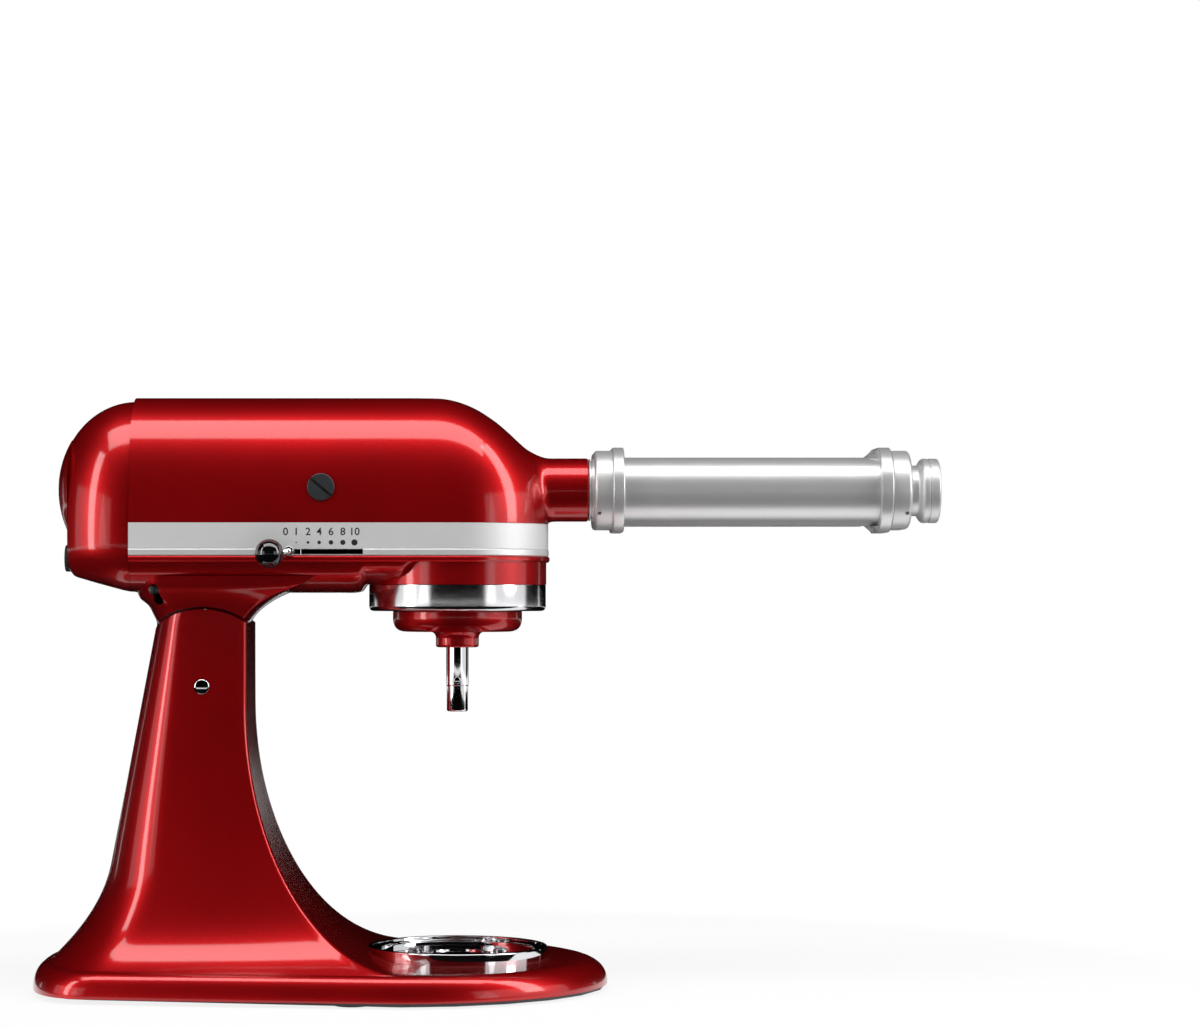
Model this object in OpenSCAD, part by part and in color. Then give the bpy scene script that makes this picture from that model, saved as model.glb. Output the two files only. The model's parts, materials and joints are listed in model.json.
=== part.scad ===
// Tilt-head stand machine with a pasta roller unit in its power hub.
// X runs from the heel of the stand to the adjustment knob, Z is up, and Y is the machine's width.
// The modules are drawn about the bowl axis; at_origin() puts the middle of the whole length at X = 0.

/* [Stand] */
// Width of the base at its widest place
base_w = 220; // [200:1:230]
// Distance from the bowl axis to the tip of the toe
toe_len = 90; // [84:1:100]
// Distance from the bowl axis to the back of the heel
heel_len = 252; // [245:1:260]
// Height of the flat part of the base
plateau_z = 18; // [16:0.5:22]
// Distance from the bowl axis to the front face of the column
column_back = 124; // [120:0.5:128]
// Width of the column at its top
column_w = 82; // [80:1:90]
// Wall of the stand casting
stand_wall = 4; // [3:0.5:6]
// Outer radius of the bowl clamp ring
clamp_r = 53.75; // [50:0.25:58]
// Height of the bowl clamp ring over the plateau
clamp_h = 7; // [5:0.5:10]

/* [Hinge] */
// Distance from the bowl axis back to the hinge pin
hinge_back = 150; // [148:0.5:152]
// Height of the hinge pin over the table
hinge_z = 181; // [178:0.5:184]
// Radius of the hinge pin
hinge_pin_r = 4.75; // [4:0.25:6]
// Radius of the column's rounded top about the hinge pin
column_top_r = 45.5; // [44:0.5:47]
// Gap between the column's top and the neck
neck_gap = 1.6; // [1:0.1:3]

/* [Head] */
// Half the width of the head
head_half_w = 54.5; // [53:0.5:56]
// Height of the power hub's axis over the table
hub_z = 298; // [296:0.5:300]
// Distance from the bowl axis back to the seam of the rear cover
seam_back = 192; // [188:1:194]
// Length of the rear cover
rear_cover_len = 46.6; // [42:0.2:50]
// Wall of the head castings
head_wall = 3.5; // [3:0.5:4.5]
// Height of the trim band over the table
band_z = 258; // [257:0.5:259]
// Width of the trim band
band_h = 19.4; // [18:0.2:19.6]
// Thickness of the trim band
band_t = 1; // [0.8:0.1:1.2]
// Outer radius of the power hub
hub_r = 19; // [18.5:0.25:20]
// Distance from the bowl axis to the face of the power hub
hub_face = 78.4; // [76:0.2:80]
// Radius of the hub's bore
hub_bore_r = 14; // [13:0.5:15]

/* [Planetary] */
// Height of the drip ring
drip_h = 15.8; // [14:0.2:17]
// Distance from the bowl axis to the beater shaft
beater_offset = 24; // [18:1.5:25.5]
// Radius of the beater shaft
beater_r = 6.35; // [5.5:0.05:7]
// Length of the beater shaft below its carrier
beater_len = 38; // [34:1:42]
// Radius of the carrier
carrier_r = 38.75; // [37:0.25:40]

/* [Controls] */
// Travel of the speed lever
speed_travel = 40; // [30:1:42]
// Radius of the ball on the speed lever
speed_ball_r = 8.5; // [7:0.5:10]
// Travel of the tilt lock
lock_travel = 6; // [4:0.5:7]

/* [Roller unit] */
// Radius of the two rollers
roller_r = 13.2; // [12.5:0.1:13.6]
// Length of the rollers' working face
roller_len = 144; // [130:1:150]
// Smallest gap between the rollers
gap_min = 0.3; // [0.2:0.1:0.6]
// How much further the rollers open
gap_travel = 2.4; // [1.6:0.2:2.8]
// Radius of the round casings
casing_r = 19.5; // [19:0.25:20.5]
// Radius of the end plates
flange_r = 25.5; // [25:0.25:27]
// Radius of the end caps
cap_r = 23.6; // [23:0.2:24.4]
// Radius of the adjustment knob
knob_r = 19.5; // [17:0.5:22]

/* [Hidden] */
$fn = 96;

// Sizes of the head that follow its width and its band
head_rise = head_half_w + 0.5;         // from the hub axis to the top of the head
drum_r = head_half_w - band_t - 0.2;   // front cylinder over the drip ring
drip_r = drum_r - 0.3;
base_half = base_w/2;

// Clearances
run_gap = 0.05;        // radial clearance of a running fit
free_gap = 0.3;        // between curved faces of pieces that move past each other
seat_gap = 0.1;        // between pieces that are screwed together

// Stations along the roller unit, all measured from the bowl axis
shank_collar = 3;                                  // visible collar between hub and left cap
left_cap_x = hub_face + 0.2 + shank_collar;        // start of the left end cap
end_cap_l = 11;                                    // length of an end cap
plate_t = 7;                                       // thickness of an end plate
left_plate_x = left_cap_x + end_cap_l;
roller_x = left_plate_x + plate_t + free_gap + 0.4;
fairing_l = 7.2;                                   // cone between the casing and the right end plate
right_plate_x = roller_x + roller_len + fairing_l + 0.7;
right_cap_x = right_plate_x + plate_t + 0.4;
knob_x = right_cap_x + end_cap_l + 0.4;            // inner end of the adjustment knob
knob_l = 19.2;                                     // length of the adjustment knob
knob_pull = 4;                                     // how far the knob pulls out against its spring

// The whole length, and where the bowl axis lies in it
reach = knob_x + knob_l;
bowl_x = -(reach - heel_len)/2;
module at_origin() translate([bowl_x, 0, 0]) children();

// ---------------------------------------------------------------- helpers

// Skin over rings of equally many points; the rings run counter-clockwise seen from the last one
module loft(rings) {
    n = len(rings[0]);
    last = len(rings) - 1;
    polyhedron(
        points = [for (ring = rings) each ring],
        faces = concat(
            [[for (j = [0:n-1]) j]],
            [[for (j = [n-1:-1:0]) last*n + j]],
            [for (k = [0:last-1], j = [0:n-1], t = [0, 1]) let (
                a = k*n + j, b = k*n + (j + 1)%n, c = b + n, d = a + n)
                t == 0 ? [a, d, c] : [a, c, b]]),
        convexity = 8);
}

// One mesh made of all that is inside, for castings with no bore of their own
module cast() resize([0, 0, 0]) children();

module along_x(x = 0, y = 0, z = 0) translate([x, y, z]) rotate([0, 90, 0]) children();
module along_y(x = 0, y = 0, z = 0) translate([x, y, z]) rotate([-90, 0, 0]) children();
module both_sides() for (s = [-1, 1]) scale_y(s) children();
module scale_y(s) mirror([0, s < 0 ? 1 : 0, 0]) children();

module tube(r, bore, h) difference() {
    cylinder(r = r, h = h);
    translate([0, 0, -1]) cylinder(r = bore, h = h + 2);
}

function polar(r, a) = [r*cos(a), r*sin(a)];

// Height of a smooth curve through a few points [x, z], by cubic stretches between them
function slope_at(p, i) = let (a = max(i - 1, 0), b = min(i + 1, len(p) - 1))
    (p[b][1] - p[a][1])/(p[b][0] - p[a][0]);
function stretch(p, i, x) = let (
    d = p[i+1][0] - p[i][0], t = (x - p[i][0])/d,
    m0 = slope_at(p, i)*d, m1 = slope_at(p, i + 1)*d)
    (2*t*t*t - 3*t*t + 1)*p[i][1] + (t*t*t - 2*t*t + t)*m0
    + (3*t*t - 2*t*t*t)*p[i+1][1] + (t*t*t - t*t)*m1;
function curve(p, x, i = 0) = (i >= len(p) - 2 || x <= p[i+1][0]) ? stretch(p, i, x) : curve(p, x, i + 1);

// Half angle of an involute tooth at radius r, in degrees, for module m and pitch radius rp
pressure = 20;
function tooth_half(r, rp, m, lash) = let (
    rb = rp*cos(pressure), a = acos(min(1, rb/r)))
    (PI*m/2 - lash)/(2*rp)*180/PI + (tan(pressure) - tan(a))*180/PI - pressure + a;
function tooth_radii(rp, m, up, down) = [rp - down*m, rp - 0.4*down*m, rp + 0.3*up*m, rp + up*m];
// Outline of a gear with its first tooth's middle at angle "first"
function gear_outline(teeth, m, first = 0, lash = 0.25, up = 0.95, down = 1.2) = let (
    rp = teeth*m/2, radii = tooth_radii(rp, m, up, down))
    [for (i = [0:teeth-1]) each let (mid = first + i*360/teeth)
        [for (k = [0:7]) let (r = k < 4 ? radii[k] : radii[7-k])
            polar(r, mid + (k < 4 ? -1 : 1)*tooth_half(r, rp, m, lash))]];
module gear(teeth, m, h, first = 0, lash = 0.25, up = 0.95, down = 1.2)
    linear_extrude(height = h) polygon(gear_outline(teeth, m, first, lash, up, down));

// ---------------------------------------------------------------- stand

column_top = hinge_z + 37;             // height at which the column's front corner ends
flare_z = 170;                         // height at which the front face starts to flare
flare_len = 95;                        // how far the front face flares towards the toe
base_mid = -31.6;                      // where the base is widest
rim_z = 3.2;                           // underside of the casting
shoulder_z = 4.5;                      // where the base's side starts to round over
toe_round = 16;
side_round = 8;

function down(z) = max(0, min(1, (column_top - z)/(column_top - plateau_z)));
function front_x(z) = -column_back + (z >= flare_z ? 0 :
    flare_len*(1 - sqrt(max(0, 1 - pow((flare_z - z)/(flare_z - plateau_z), 2)))));
function rear_x(z) = let (flare = max(0, 75 - z))
    -(heel_len - 72) - 0.19*(column_top - z) - 24*pow(flare/50, 2.4);
flare_w = base_half - side_round - column_w/2;
function front_w(z) = column_w/2 + flare_w*pow(down(z), 2.3);
function side_w(z) = column_w/2 + 1.5 + (flare_w - 14)*pow(down(z), 2.5);
function rear_w(z) = column_w/2 - 2 + (flare_w - 27)*pow(down(z), 2.5);

// Width of a section at x, through its widths at the front, at the hinge and at the rear
function width_at(x, xf, wf, ws, xr, wr) = let (xs = -hinge_back)
    wf*(x - xs)*(x - xr)/((xf - xs)*(xf - xr)) + ws*(x - xf)*(x - xr)/((xs - xf)*(xs - xr))
    + wr*(x - xf)*(x - xs)/((xr - xf)*(xr - xs));

// Side of a section from its front corner to the middle of its rear, with a rounded rear corner
function flank(xf, wf, ws, xr, wr, round, n) = let (xm = xr + round)
    concat(
        [for (u = [0.2:0.2:1]) let (x = xf + (xm - xf)*u) [x, width_at(x, xf, wf, ws, xr, wr)]],
        [for (a = [15:15:75]) let (x = xm - round*pow(sin(a), 2/n))
            [x, width_at(x, xf, wf, ws, xr, wr)*pow(cos(a), 2/n)]]);
function section(z, front, side, xr) = concat(
    [for (p = front) [p[0], p[1], z]], [for (p = side) [p[0], p[1], z]], [[xr, 0, z]],
    [for (i = [len(side)-1:-1:0]) [side[i][0], -side[i][1], z]]);

// Section of the column at height z, "inset" inside its skin, and no wider than "widest" each way
function column_ring(z, inset = 0, widest = 200, at = undef) = let (
    h = is_undef(at) ? z : at,
    wf = min(front_w(h) - inset, widest), ws = min(side_w(h) - inset, widest),
    wr = min(rear_w(h) - inset, widest), xf = front_x(h) - inset, xr = rear_x(h) + inset)
    section(z, [for (a = [-90:15:90]) [xf, wf*sin(a)]],
        flank(xf, wf, ws, xr, wr, 18 + 22*down(h), 2.3), xr);

// Section of the base at height z, with its edge rounded over towards the plateau
function round_over(z) = 1 - sqrt(max(0, 1 - pow(max(0, z - shoulder_z)/(plateau_z - shoulder_z), 2)));
function base_ring(z, inset = 0, at = undef) = let (
    h = is_undef(at) ? z : at, over = round_over(h),
    wf = base_half - side_round*over - inset,
    ws = base_half - 22 - 7*over - inset,
    wr = base_half - 40 - 5*over - inset,
    xr = -heel_len + 7.5*over + inset,
    toe = toe_len - base_mid - inset - toe_round*over)
    section(z, [for (a = [-90:15:90]) [base_mid + toe*cos(a), wf*sin(a)]],
        flank(base_mid, wf, ws, xr, wr, 40, 2.6), xr);

base_heights = [rim_z, for (u = [0, 0.26, 0.48, 0.67, 0.81, 0.93, 1])
    shoulder_z + (plateau_z - shoulder_z)*u];
column_heights = [for (u = [0, 0.006, 0.02, 0.038, 0.061, 0.093, 0.134, 0.186, 0.25, 0.325, 0.41, 0.505,
    0.61, 0.725, 0.84, 0.925, 1]) plateau_z + 0.3 + (column_top + 14 - plateau_z - 0.3)*u];

module column_top_cut() difference() {
    translate([-heel_len, -base_w/2, hinge_z + 20]) cube([heel_len, base_w, 60]);
    along_y(-hinge_back, -base_w, hinge_z) cylinder(r = column_top_r, h = 2*base_w);
}

fork_w = 26.5;                         // half the gap between the column's two ears
boss_places = [[toe_len - 52, 0.53*base_half], [toe_len - 52, -0.53*base_half],
    [-92, 0.56*base_half], [-92, -0.56*base_half], [38 - heel_len, 0]];
boss_r = 7;

module stand_cavity() {
    loft(concat(
        [for (z = [rim_z - 1, 7, 10]) base_ring(z, stand_wall, max(rim_z, z + 3))],
        [base_ring(plateau_z - stand_wall, stand_wall + 6, plateau_z - 1)],
        [for (z = [plateau_z - stand_wall + 0.2, 24, 34, 48, 68, 96, 130, 152])
            column_ring(z, stand_wall, 200, z + 2)],
        [for (z = [158, 190, column_top + 16]) column_ring(z, stand_wall + 0.5, fork_w)]));
}

module pedestal() color("firebrick") cast() difference() {
    loft(concat([for (z = base_heights) base_ring(z)], [for (z = column_heights) column_ring(z)]));
    difference() {
        stand_cavity();
        for (p = boss_places) translate([p[0], p[1], rim_z]) cylinder(r = boss_r, h = 90, $fn = 24);
    }
    for (p = boss_places) translate([p[0], p[1], rim_z - 1]) cylinder(r = plate_screw_r, h = 10, $fn = 16);
    column_top_cut();
    lug_sweep();
    along_y(-hinge_back, -base_w/2, hinge_z) cylinder(r = hinge_pin_r + 0.02, h = base_w, $fn = 48);
    translate([0, 0, plateau_z - 1]) cylinder(r = clamp_r + seat_gap, h = 10, $fn = 72);
    for (a = clamp_screw_angles) rotate(a) translate([clamp_screw_pitch, 0, 0])
        cylinder(r = clamp_screw_r, h = 40, $fn = 16);
    latch_notch();
}

plate_t_base = 2;
plate_screw_r = 2.4;
module bottom_plate() color("dimgray") difference() {
    translate([0, 0, rim_z - plate_t_base]) linear_extrude(height = plate_t_base)
        polygon([for (p = base_ring(rim_z, 1.2)) [p[0], p[1]]]);
    for (p = boss_places) translate([p[0], p[1], -1]) cylinder(r = plate_screw_r + 0.3, h = 9);
    for (p = foot_places) translate([p[0], p[1], -1]) cylinder(r = foot_stem_r + 0.05, h = 9);
}

foot_places = [for (s = [-1, 1]) each [
    [toe_len - 32, 0.4*s*base_half], [26 - heel_len, 0.345*s*base_half], [-60, 0.8*s*base_half]]];
foot_r = 11;
foot_stem_r = 5;
module base_feet() color("black") for (p = foot_places) translate([p[0], p[1], 0]) {
    cylinder(r = foot_r, h = rim_z - plate_t_base);
    cylinder(r = foot_stem_r, h = rim_z + 1.5);
    translate([0, 0, rim_z]) cylinder(r = foot_stem_r + 1.5, h = 1.5);
}

module plate_screws() color("silver") for (p = boss_places) translate([p[0], p[1], 0]) difference() {
    union() {
        translate([0, 0, 0.4]) cylinder(r = 4, h = rim_z - plate_t_base - 0.4);
        translate([0, 0, 0.4]) cylinder(r = plate_screw_r - 0.05, h = rim_z + 7);
    }
    for (a = [0, 90]) rotate(a) translate([-2.2, -0.4, 0]) cube([4.4, 0.8, 1]);
}

// The bowl's foot drops between three inward lugs and turns under them
clamp_wall = 2.2;
clamp_lip_r = clamp_r - 7.25;
clamp_lip_h = 1.8;
clamp_screw_pitch = 30;
clamp_screw_r = 2.4;
clamp_screw_angles = [30, 150, 270];
clamp_plate_z = plateau_z + 1.2;
module bowl_clamp_ring() color("silver") {
    translate([0, 0, plateau_z - 1]) rotate_extrude() union() {
        polygon([[clamp_r - clamp_wall, 0], [clamp_r, 0],
            [clamp_r, clamp_h], [clamp_r - clamp_wall, clamp_h]]);
        translate([clamp_r - clamp_wall/2, clamp_h]) circle(r = clamp_wall/2, $fn = 24);
    }
    translate([0, 0, plateau_z + clamp_h - 3.2]) difference() {
        tube(clamp_r - clamp_wall + 0.01, clamp_lip_r, clamp_lip_h);
        for (a = [60, 180, 300]) rotate([0, 0, a]) translate([0, 0, -1]) linear_extrude(height = 5)
            polygon([[0, 0], polar(90, -12), polar(90, 12)]);
    }
}

module bowl_clamp_plate() color("silver") difference() {
    union() {
        translate([0, 0, plateau_z - 1])
            cylinder(r = clamp_r - clamp_wall - 0.05, h = clamp_plate_z - plateau_z + 1);
        translate([0, 0, clamp_plate_z]) tube(20, 17, 1.2);
    }
    for (a = clamp_screw_angles) rotate(a) translate([clamp_screw_pitch, 0, 0])
        cylinder(r = clamp_screw_r + 0.2, h = 40);
}

module clamp_screws() color("silver") for (a = clamp_screw_angles) rotate(a)
    translate([clamp_screw_pitch, 0, 0]) difference() {
        union() {
            translate([0, 0, clamp_plate_z]) cylinder(r = 4.6, h = 1.4);
            translate([0, 0, clamp_plate_z + 1.4]) cylinder(r = 3.6, h = 0.6);
            translate([0, 0, plateau_z - 9]) cylinder(r = clamp_screw_r - 0.05, h = 11);
        }
        translate([-5, -0.6, clamp_plate_z + 1]) cube([10, 1.2, 3]);
    }

// The pin stands a little proud of both ears and is turned down at its ends
pin_half = column_w/2 + 2.6;
module hinge_pin() color("silver") along_y(-hinge_back, -pin_half, hinge_z) {
    translate([0, 0, 1]) cylinder(r = hinge_pin_r, h = 2*pin_half - 2);
    cylinder(r1 = hinge_pin_r - 1, r2 = hinge_pin_r, h = 1);
    translate([0, 0, 2*pin_half - 1]) cylinder(r1 = hinge_pin_r, r2 = hinge_pin_r - 1, h = 1);
}

// ---------------------------------------------------------------- head castings

seam_x = -seam_back;
roof_z = hub_z + head_rise;
lip_z = band_z - 1.4;                  // lower edge of the band's bed
belly_z = band_z - 21.4;               // underside of the head
drum_z = band_z - 16.8;                // underside of the front cylinder
side_break = band_z + 4;               // where the sides start to curve under

// Height of the roof's middle line along the nose, down to the root of the hub
nose = [[-24, 0], [-6, 0.8], [9, 5.6], [22.5, 14], [31, 21.2], [39, 28.6], [45, 33.2], [50, 36], [54, 37.2]];
function roof_at(x) = roof_z - (x <= nose[0][0] ? 0 : curve(nose, x));
function plan_half(x) = x <= 0 ? head_half_w : sqrt(max(0, head_half_w*head_half_w - x*x));

// Arch over the band, counter-clockwise seen from the front
function arch(x, inset = 0, n = 2.4, foot = band_z + band_h) = let (
    w = plan_half(x + (x > 0 ? inset : 0)) - inset, rise = roof_at(x) - inset - foot)
    [for (a = [0:7.5:180]) let (c = cos(a), s = sin(a))
        [x, w*sign(c)*pow(abs(c), 2/n), foot + rise*pow(s, 2/n)]];

// Stations along the straight part of the roof, and along the nose to "last"
function straight() = [for (u = [0:0.25:1]) seam_x + (nose[0][0] - seam_x)*u];
nose_stations = [for (x = [-12:8:44]) x];
roof_stations = concat(straight(), nose_stations, [48, 51, 53, head_half_w - 0.3]);
module upper_housing() color("firebrick") cast() difference() {
    union() {
        loft([for (x = roof_stations) arch(x)]);
        along_x(head_half_w - 14, 0, hub_z) cylinder(r = hub_r, h = hub_face - head_half_w + 14);
        intersection() {
            hub_fillet();
            translate([0, -base_w/2, band_z + band_h]) cube(base_w);
        }
    }
    translate([0, 0, -0.01]) loft(concat(
        [[for (p = arch(seam_x, head_wall)) [seam_x - 1, p[1], p[2]]]],
        [for (i = [1:4]) arch(straight()[i], head_wall)],
        [for (i = [0:6]) arch(nose_stations[i], head_wall)], [arch(43, head_wall)]));
    along_x(0, 0, hub_z) cylinder(r = sleeve_r, h = hub_face + 10);
    both_sides() along_y(-brush_back, brush_seat, hub_z) cylinder(r = brush_cap_r + 0.1, h = 20, $fn = 40);
    along_y(screw_x, 0, hub_z) cylinder(r = screw_r + free_gap, h = 40, $fn = 24);
}

fillet_r = 4.5;
module hub_fillet() along_x(head_half_w - 3, 0, hub_z) rotate_extrude() difference() {
    translate([hub_r - 4, 0]) square([4 + fillet_r, fillet_r + 3]);
    translate([hub_r + fillet_r, fillet_r + 3]) circle(r = fillet_r, $fn = 32);
}

// Plan of the head under its roof
module head_plan(inset = 0) {
    translate([seam_x, -head_half_w + inset]) square([seam_back, 2*(head_half_w - inset)]);
    circle(r = head_half_w - inset);
}

// Belly: sides that curve under, ending in a sweep up to the front cylinder
belly = [[seam_x, belly_z], [-drip_r - 17, belly_z - 0.3], [-drip_r - 4.5, belly_z + 0.4],
    [-drip_r - 0.6, drum_z + 0.1],
    [-36, drum_z + 0.1], [-31.5, drum_z + 0.8], [-27, drum_z + 5.6], [-17, drum_z + 11.4],
    [-5, drum_z + 14.2], [2, drum_z + 14.8]];
function belly_ring(x, inset = 0) = let (
    low = curve(belly, x) + inset, w = head_half_w - band_t - 0.15 - inset, n = 3)
    [for (a = [-180:10:0]) let (c = cos(a), s = -sin(a))
        [x, w*sign(c)*pow(abs(c), 2/n), side_break - (side_break - low)*pow(s, 2/n)]];

belly_stations = concat([for (u = [0:0.25:1]) seam_x + (-drip_r - 17 - seam_x)*u],
    [-drip_r - 9, -drip_r - 4.5, -drip_r - 0.6, -36, -31.5, -29, -27, -22, -17, -11, -5, 0]);

// Neck: from the belly down to the round joint over the column, as heights over its foot
neck_z = hinge_z + 33;
neck_front = [[0, -0.6], [5, -0.4], [10.6, 3.6], [16, 10.2], [21, 19], [26, 32], [32, 44]];
neck_rear = [[0, 12], [5, 12], [9, 10.2], [14.8, 7.1], [19, 2.2], [26, 0.1], [32, 0.1]];
neck_half = [[0, 0], [5, 0], [10, 0.5], [16, 2], [22, 5], [26, 7.5], [32, 9]];
function neck_ring(h) = let (
    z = neck_z + h, xf = curve(neck_front, h) - column_back, xr = curve(neck_rear, h) + seam_x,
    w = curve(neck_half, h) + column_w/2)
    section(z, [for (a = [-90:15:90]) [xf - 3*(1 - cos(a)), (w - 1)*sin(a)]],
        flank(xf - 3, w - 1, w + 1, xr, w - 3, 18, 2.3), xr);

lug_half = fork_w - 0.7;
lug_r = 13;
lug_angles = [63, 79];
tilt_range = 45;
// Side view of the lug: a round eye and an arm up to the neck
module lug_outline() {
    circle(r = lug_r, $fn = 48);
    polygon([polar(9, 150), polar(9, -30), polar(52, lug_angles[0]), polar(52, lug_angles[1])]);
}
module across(half) translate([-hinge_back, half, hinge_z]) rotate([90, 0, 0])
    linear_extrude(height = 2*half) children();
module hinge_lug() across(lug_half) difference() {
    lug_outline();
    circle(r = hinge_pin_r + 2.05, $fn = 48);
}
// Room between the ears for the lug to swing in
module lug_sweep(grow = 0.7) across(fork_w) {
    circle(r = lug_r + grow, $fn = 48);
    polygon(concat([polar(9 + grow, -30)],
        [for (u = [0:0.2:1]) polar(60, lug_angles[0] - 1.5*grow
            + u*(lug_angles[1] - lug_angles[0] + tilt_range + 3*grow))],
        [polar(9 + grow, 150 + tilt_range)]));
}

latch_x = -hinge_back - 28;
latch_z = hinge_z + 57;
latch_lean = 28;                       // the lock slides down and forwards, this far off vertical
latch_pin_r = 3;
latch_y = [29.5, 35];
module latch_way(r, extra) hull() for (d = [-extra, lock_travel + extra])
    translate([latch_x + d*sin(latch_lean), 0, latch_z - d*cos(latch_lean)]) rotate([90, 0, 0])
        translate([0, 0, -60]) cylinder(r = r, h = 120, $fn = 32);
module latch_frame() translate([latch_x, 0, latch_z]) rotate([0, -latch_lean, 0]) children();
latch_bolt_len = 12.5;
latch_bolt_w = 7;
module latch_notch() latch_frame()
    translate([-latch_bolt_w/2 - 0.5, latch_y[0] - 0.5, -latch_bolt_len - lock_travel - 4])
        cube([latch_bolt_w + 1, latch_y[1] - latch_y[0] + 1, 14]);

module lower_housing() color("firebrick") {
    cast() union() {
        difference() {
            union() {
                translate([0, 0, lip_z]) linear_extrude(height = band_z + band_h - lip_z - seat_gap)
                    head_plan(band_t + 0.1);
                difference() {
                    union() {
                        loft([for (x = belly_stations) belly_ring(x)]);
                        translate([0, 0, drum_z]) cylinder(r = drum_r, h = 22, $fn = 80);
                        loft([for (h = [0, 3, 6, 9, 12, 15, 18, 21, 24, 27, 32]) neck_ring(h)]);
                    }
                    translate([-300, -100, side_break]) cube([400, 200, 100]);
                }
            }
            along_y(-hinge_back, -base_w, hinge_z)
                cylinder(r = column_top_r + neck_gap, h = 2*base_w, $fn = 120);
            speed_slot();
            gear_room();
            translate([0, 0, drum_z - 1]) cylinder(r = ring_seat_r, h = 3.6, $fn = 64);
            translate([0, 0, drum_z - 1]) cylinder(r = planet_bush_r, h = 30, $fn = 48);
            latch_pocket();
            translate([-worm_wheel_back, worm_wheel_y, drum_z - 3]) cylinder(r = worm_bush_r, h = 20, $fn = 32);
        }
        hinge_lug();
    }
}

// Room over the belly for the gears, which goes down inside the belly and inside the round front
module gear_room() {
    translate([0, 0, band_z - 2]) linear_extrude(height = 60) difference() {
        head_plan(head_wall + 1.5);
        translate([41, -60]) square([60, 120]);
        translate([seam_x - 1, -60]) square([6, 120]);
    }
    translate([0, 0, band_z - 12]) difference() {
        cylinder(r = drum_r - head_wall - 1.3, h = 11, $fn = 80);
        translate([41, -60, -1]) cube([60, 120, 20]);
    }
    loft(concat([for (u = [0:0.25:1]) belly_ring(seam_x + 5 + (-drip_r - 22 - seam_x)*u, head_wall)],
        [belly_ring(-drip_r - 9, head_wall), belly_ring(-drip_r + 5, head_wall)]));
}

// The pin's slot through both sides of the neck, and the bolt's room beside the lug
pocket_half = latch_y[1] + 1;
module latch_pocket() {
    latch_way(latch_pin_r + 0.3, 0.2);
    latch_frame() translate([-latch_bolt_w/2 - 0.6, latch_y[0] - 1, -latch_bolt_len - lock_travel - 12])
        cube([latch_bolt_w + 1.2, pocket_half - latch_y[0] + 1, latch_bolt_len + lock_travel + 17]);
}

module hinge_bushes() color("goldenrod") for (y = [-lug_half, lug_half - 12])
    along_y(-hinge_back, y, hinge_z) tube(hinge_pin_r + 2, hinge_pin_r + run_gap, 12);

// Rear cover: a dome that closes the motor end, with a squarer foot under it
cover_end = seam_x - rear_cover_len;
foot_x = seam_x - 38.2;
function dome(x) = sqrt(max(0, 1 - pow((seam_x - x)/rear_cover_len, 2)));
cover_low = [[foot_x, band_z - 9.5], [foot_x + 2, band_z - 12], [foot_x + 6, band_z - 13.4],
    [seam_x - 16, band_z - 18], [seam_x - 4, band_z - 21], [seam_x, belly_z + 0.4]];
function cover_ring(x, inset = 0) = let (
    d = dome(x), behind = x < foot_x, top = hub_z + (head_rise - 2.2)*d - inset,
    w = (head_half_w - 1.6)*pow(d, 0.8) - inset, mid = behind ? hub_z : side_break + 8,
    low = (behind ? hub_z - 31*pow(d/dome(foot_x), 1) : curve(cover_low, x)) + inset)
    [for (a = [0:10:350]) let (c = cos(a), s = sin(a), n = s >= 0 ? 2.3 : (behind ? 2.3 : 3.2))
        [x, w*sign(c)*pow(abs(c), 2/n), mid + (s >= 0 ? (top - mid)*pow(s, 2/n) : -(mid - low)*pow(-s, 2/n))]];
cover_stations = [cover_end + 0.15, cover_end + 0.8, cover_end + 2, cover_end + 4, foot_x - 2.4, foot_x - 0.2,
    foot_x, foot_x + 2, foot_x + 6, seam_x - 25, seam_x - 16, seam_x - 8, seam_x - 0.4];
module rear_cover() color("firebrick") cast() difference() {
    loft([for (x = cover_stations) cover_ring(x)]);
    loft(concat(
        [for (x = [foot_x + 2.5, foot_x + 6, seam_x - 25, seam_x - 16, seam_x - 8]) cover_ring(x, head_wall)],
        [[for (p = cover_ring(seam_x - 0.4, head_wall)) [seam_x + 1, p[1], p[2]]]]));
    along_x(cover_end - 1, 0, gland_z) cylinder(r = gland_r + 0.05, h = 40, $fn = 40);
    along_x(cover_end - 1, 0, cover_screw_z) cylinder(r = 2.6, h = 60, $fn = 24);
    along_x(cover_end - 1, 0, cover_screw_z) cylinder(r = 4.6, h = rear_cover_len - 36 + 1.6, $fn = 32);
}

gland_z = band_z - 1;
gland_r = 6;
module cord_gland() color("black") along_x(foot_x - 5, 0, gland_z) difference() {
    union() {
        cylinder(r = gland_r + 2, h = 4.6);
        cylinder(r = gland_r, h = 14);
        translate([0, 0, 5 + head_wall + 0.6]) cylinder(r = gland_r + 1.6, h = 3);
    }
    translate([0, 0, -1]) cylinder(r = 3.6, h = 20);
}

cover_screw_z = hub_z + 20;
module rear_cover_screw() color("silver") along_x(cover_end, 0, cover_screw_z) difference() {
    union() {
        translate([0, 0, 8]) cylinder(r = 4.4, h = 2.8);
        translate([0, 0, 8]) cylinder(r = 2.5, h = rear_cover_len + 1.5 - 8);
    }
    translate([-5, -0.6, 7]) cube([10, 1.2, 2.2]);
}

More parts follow.
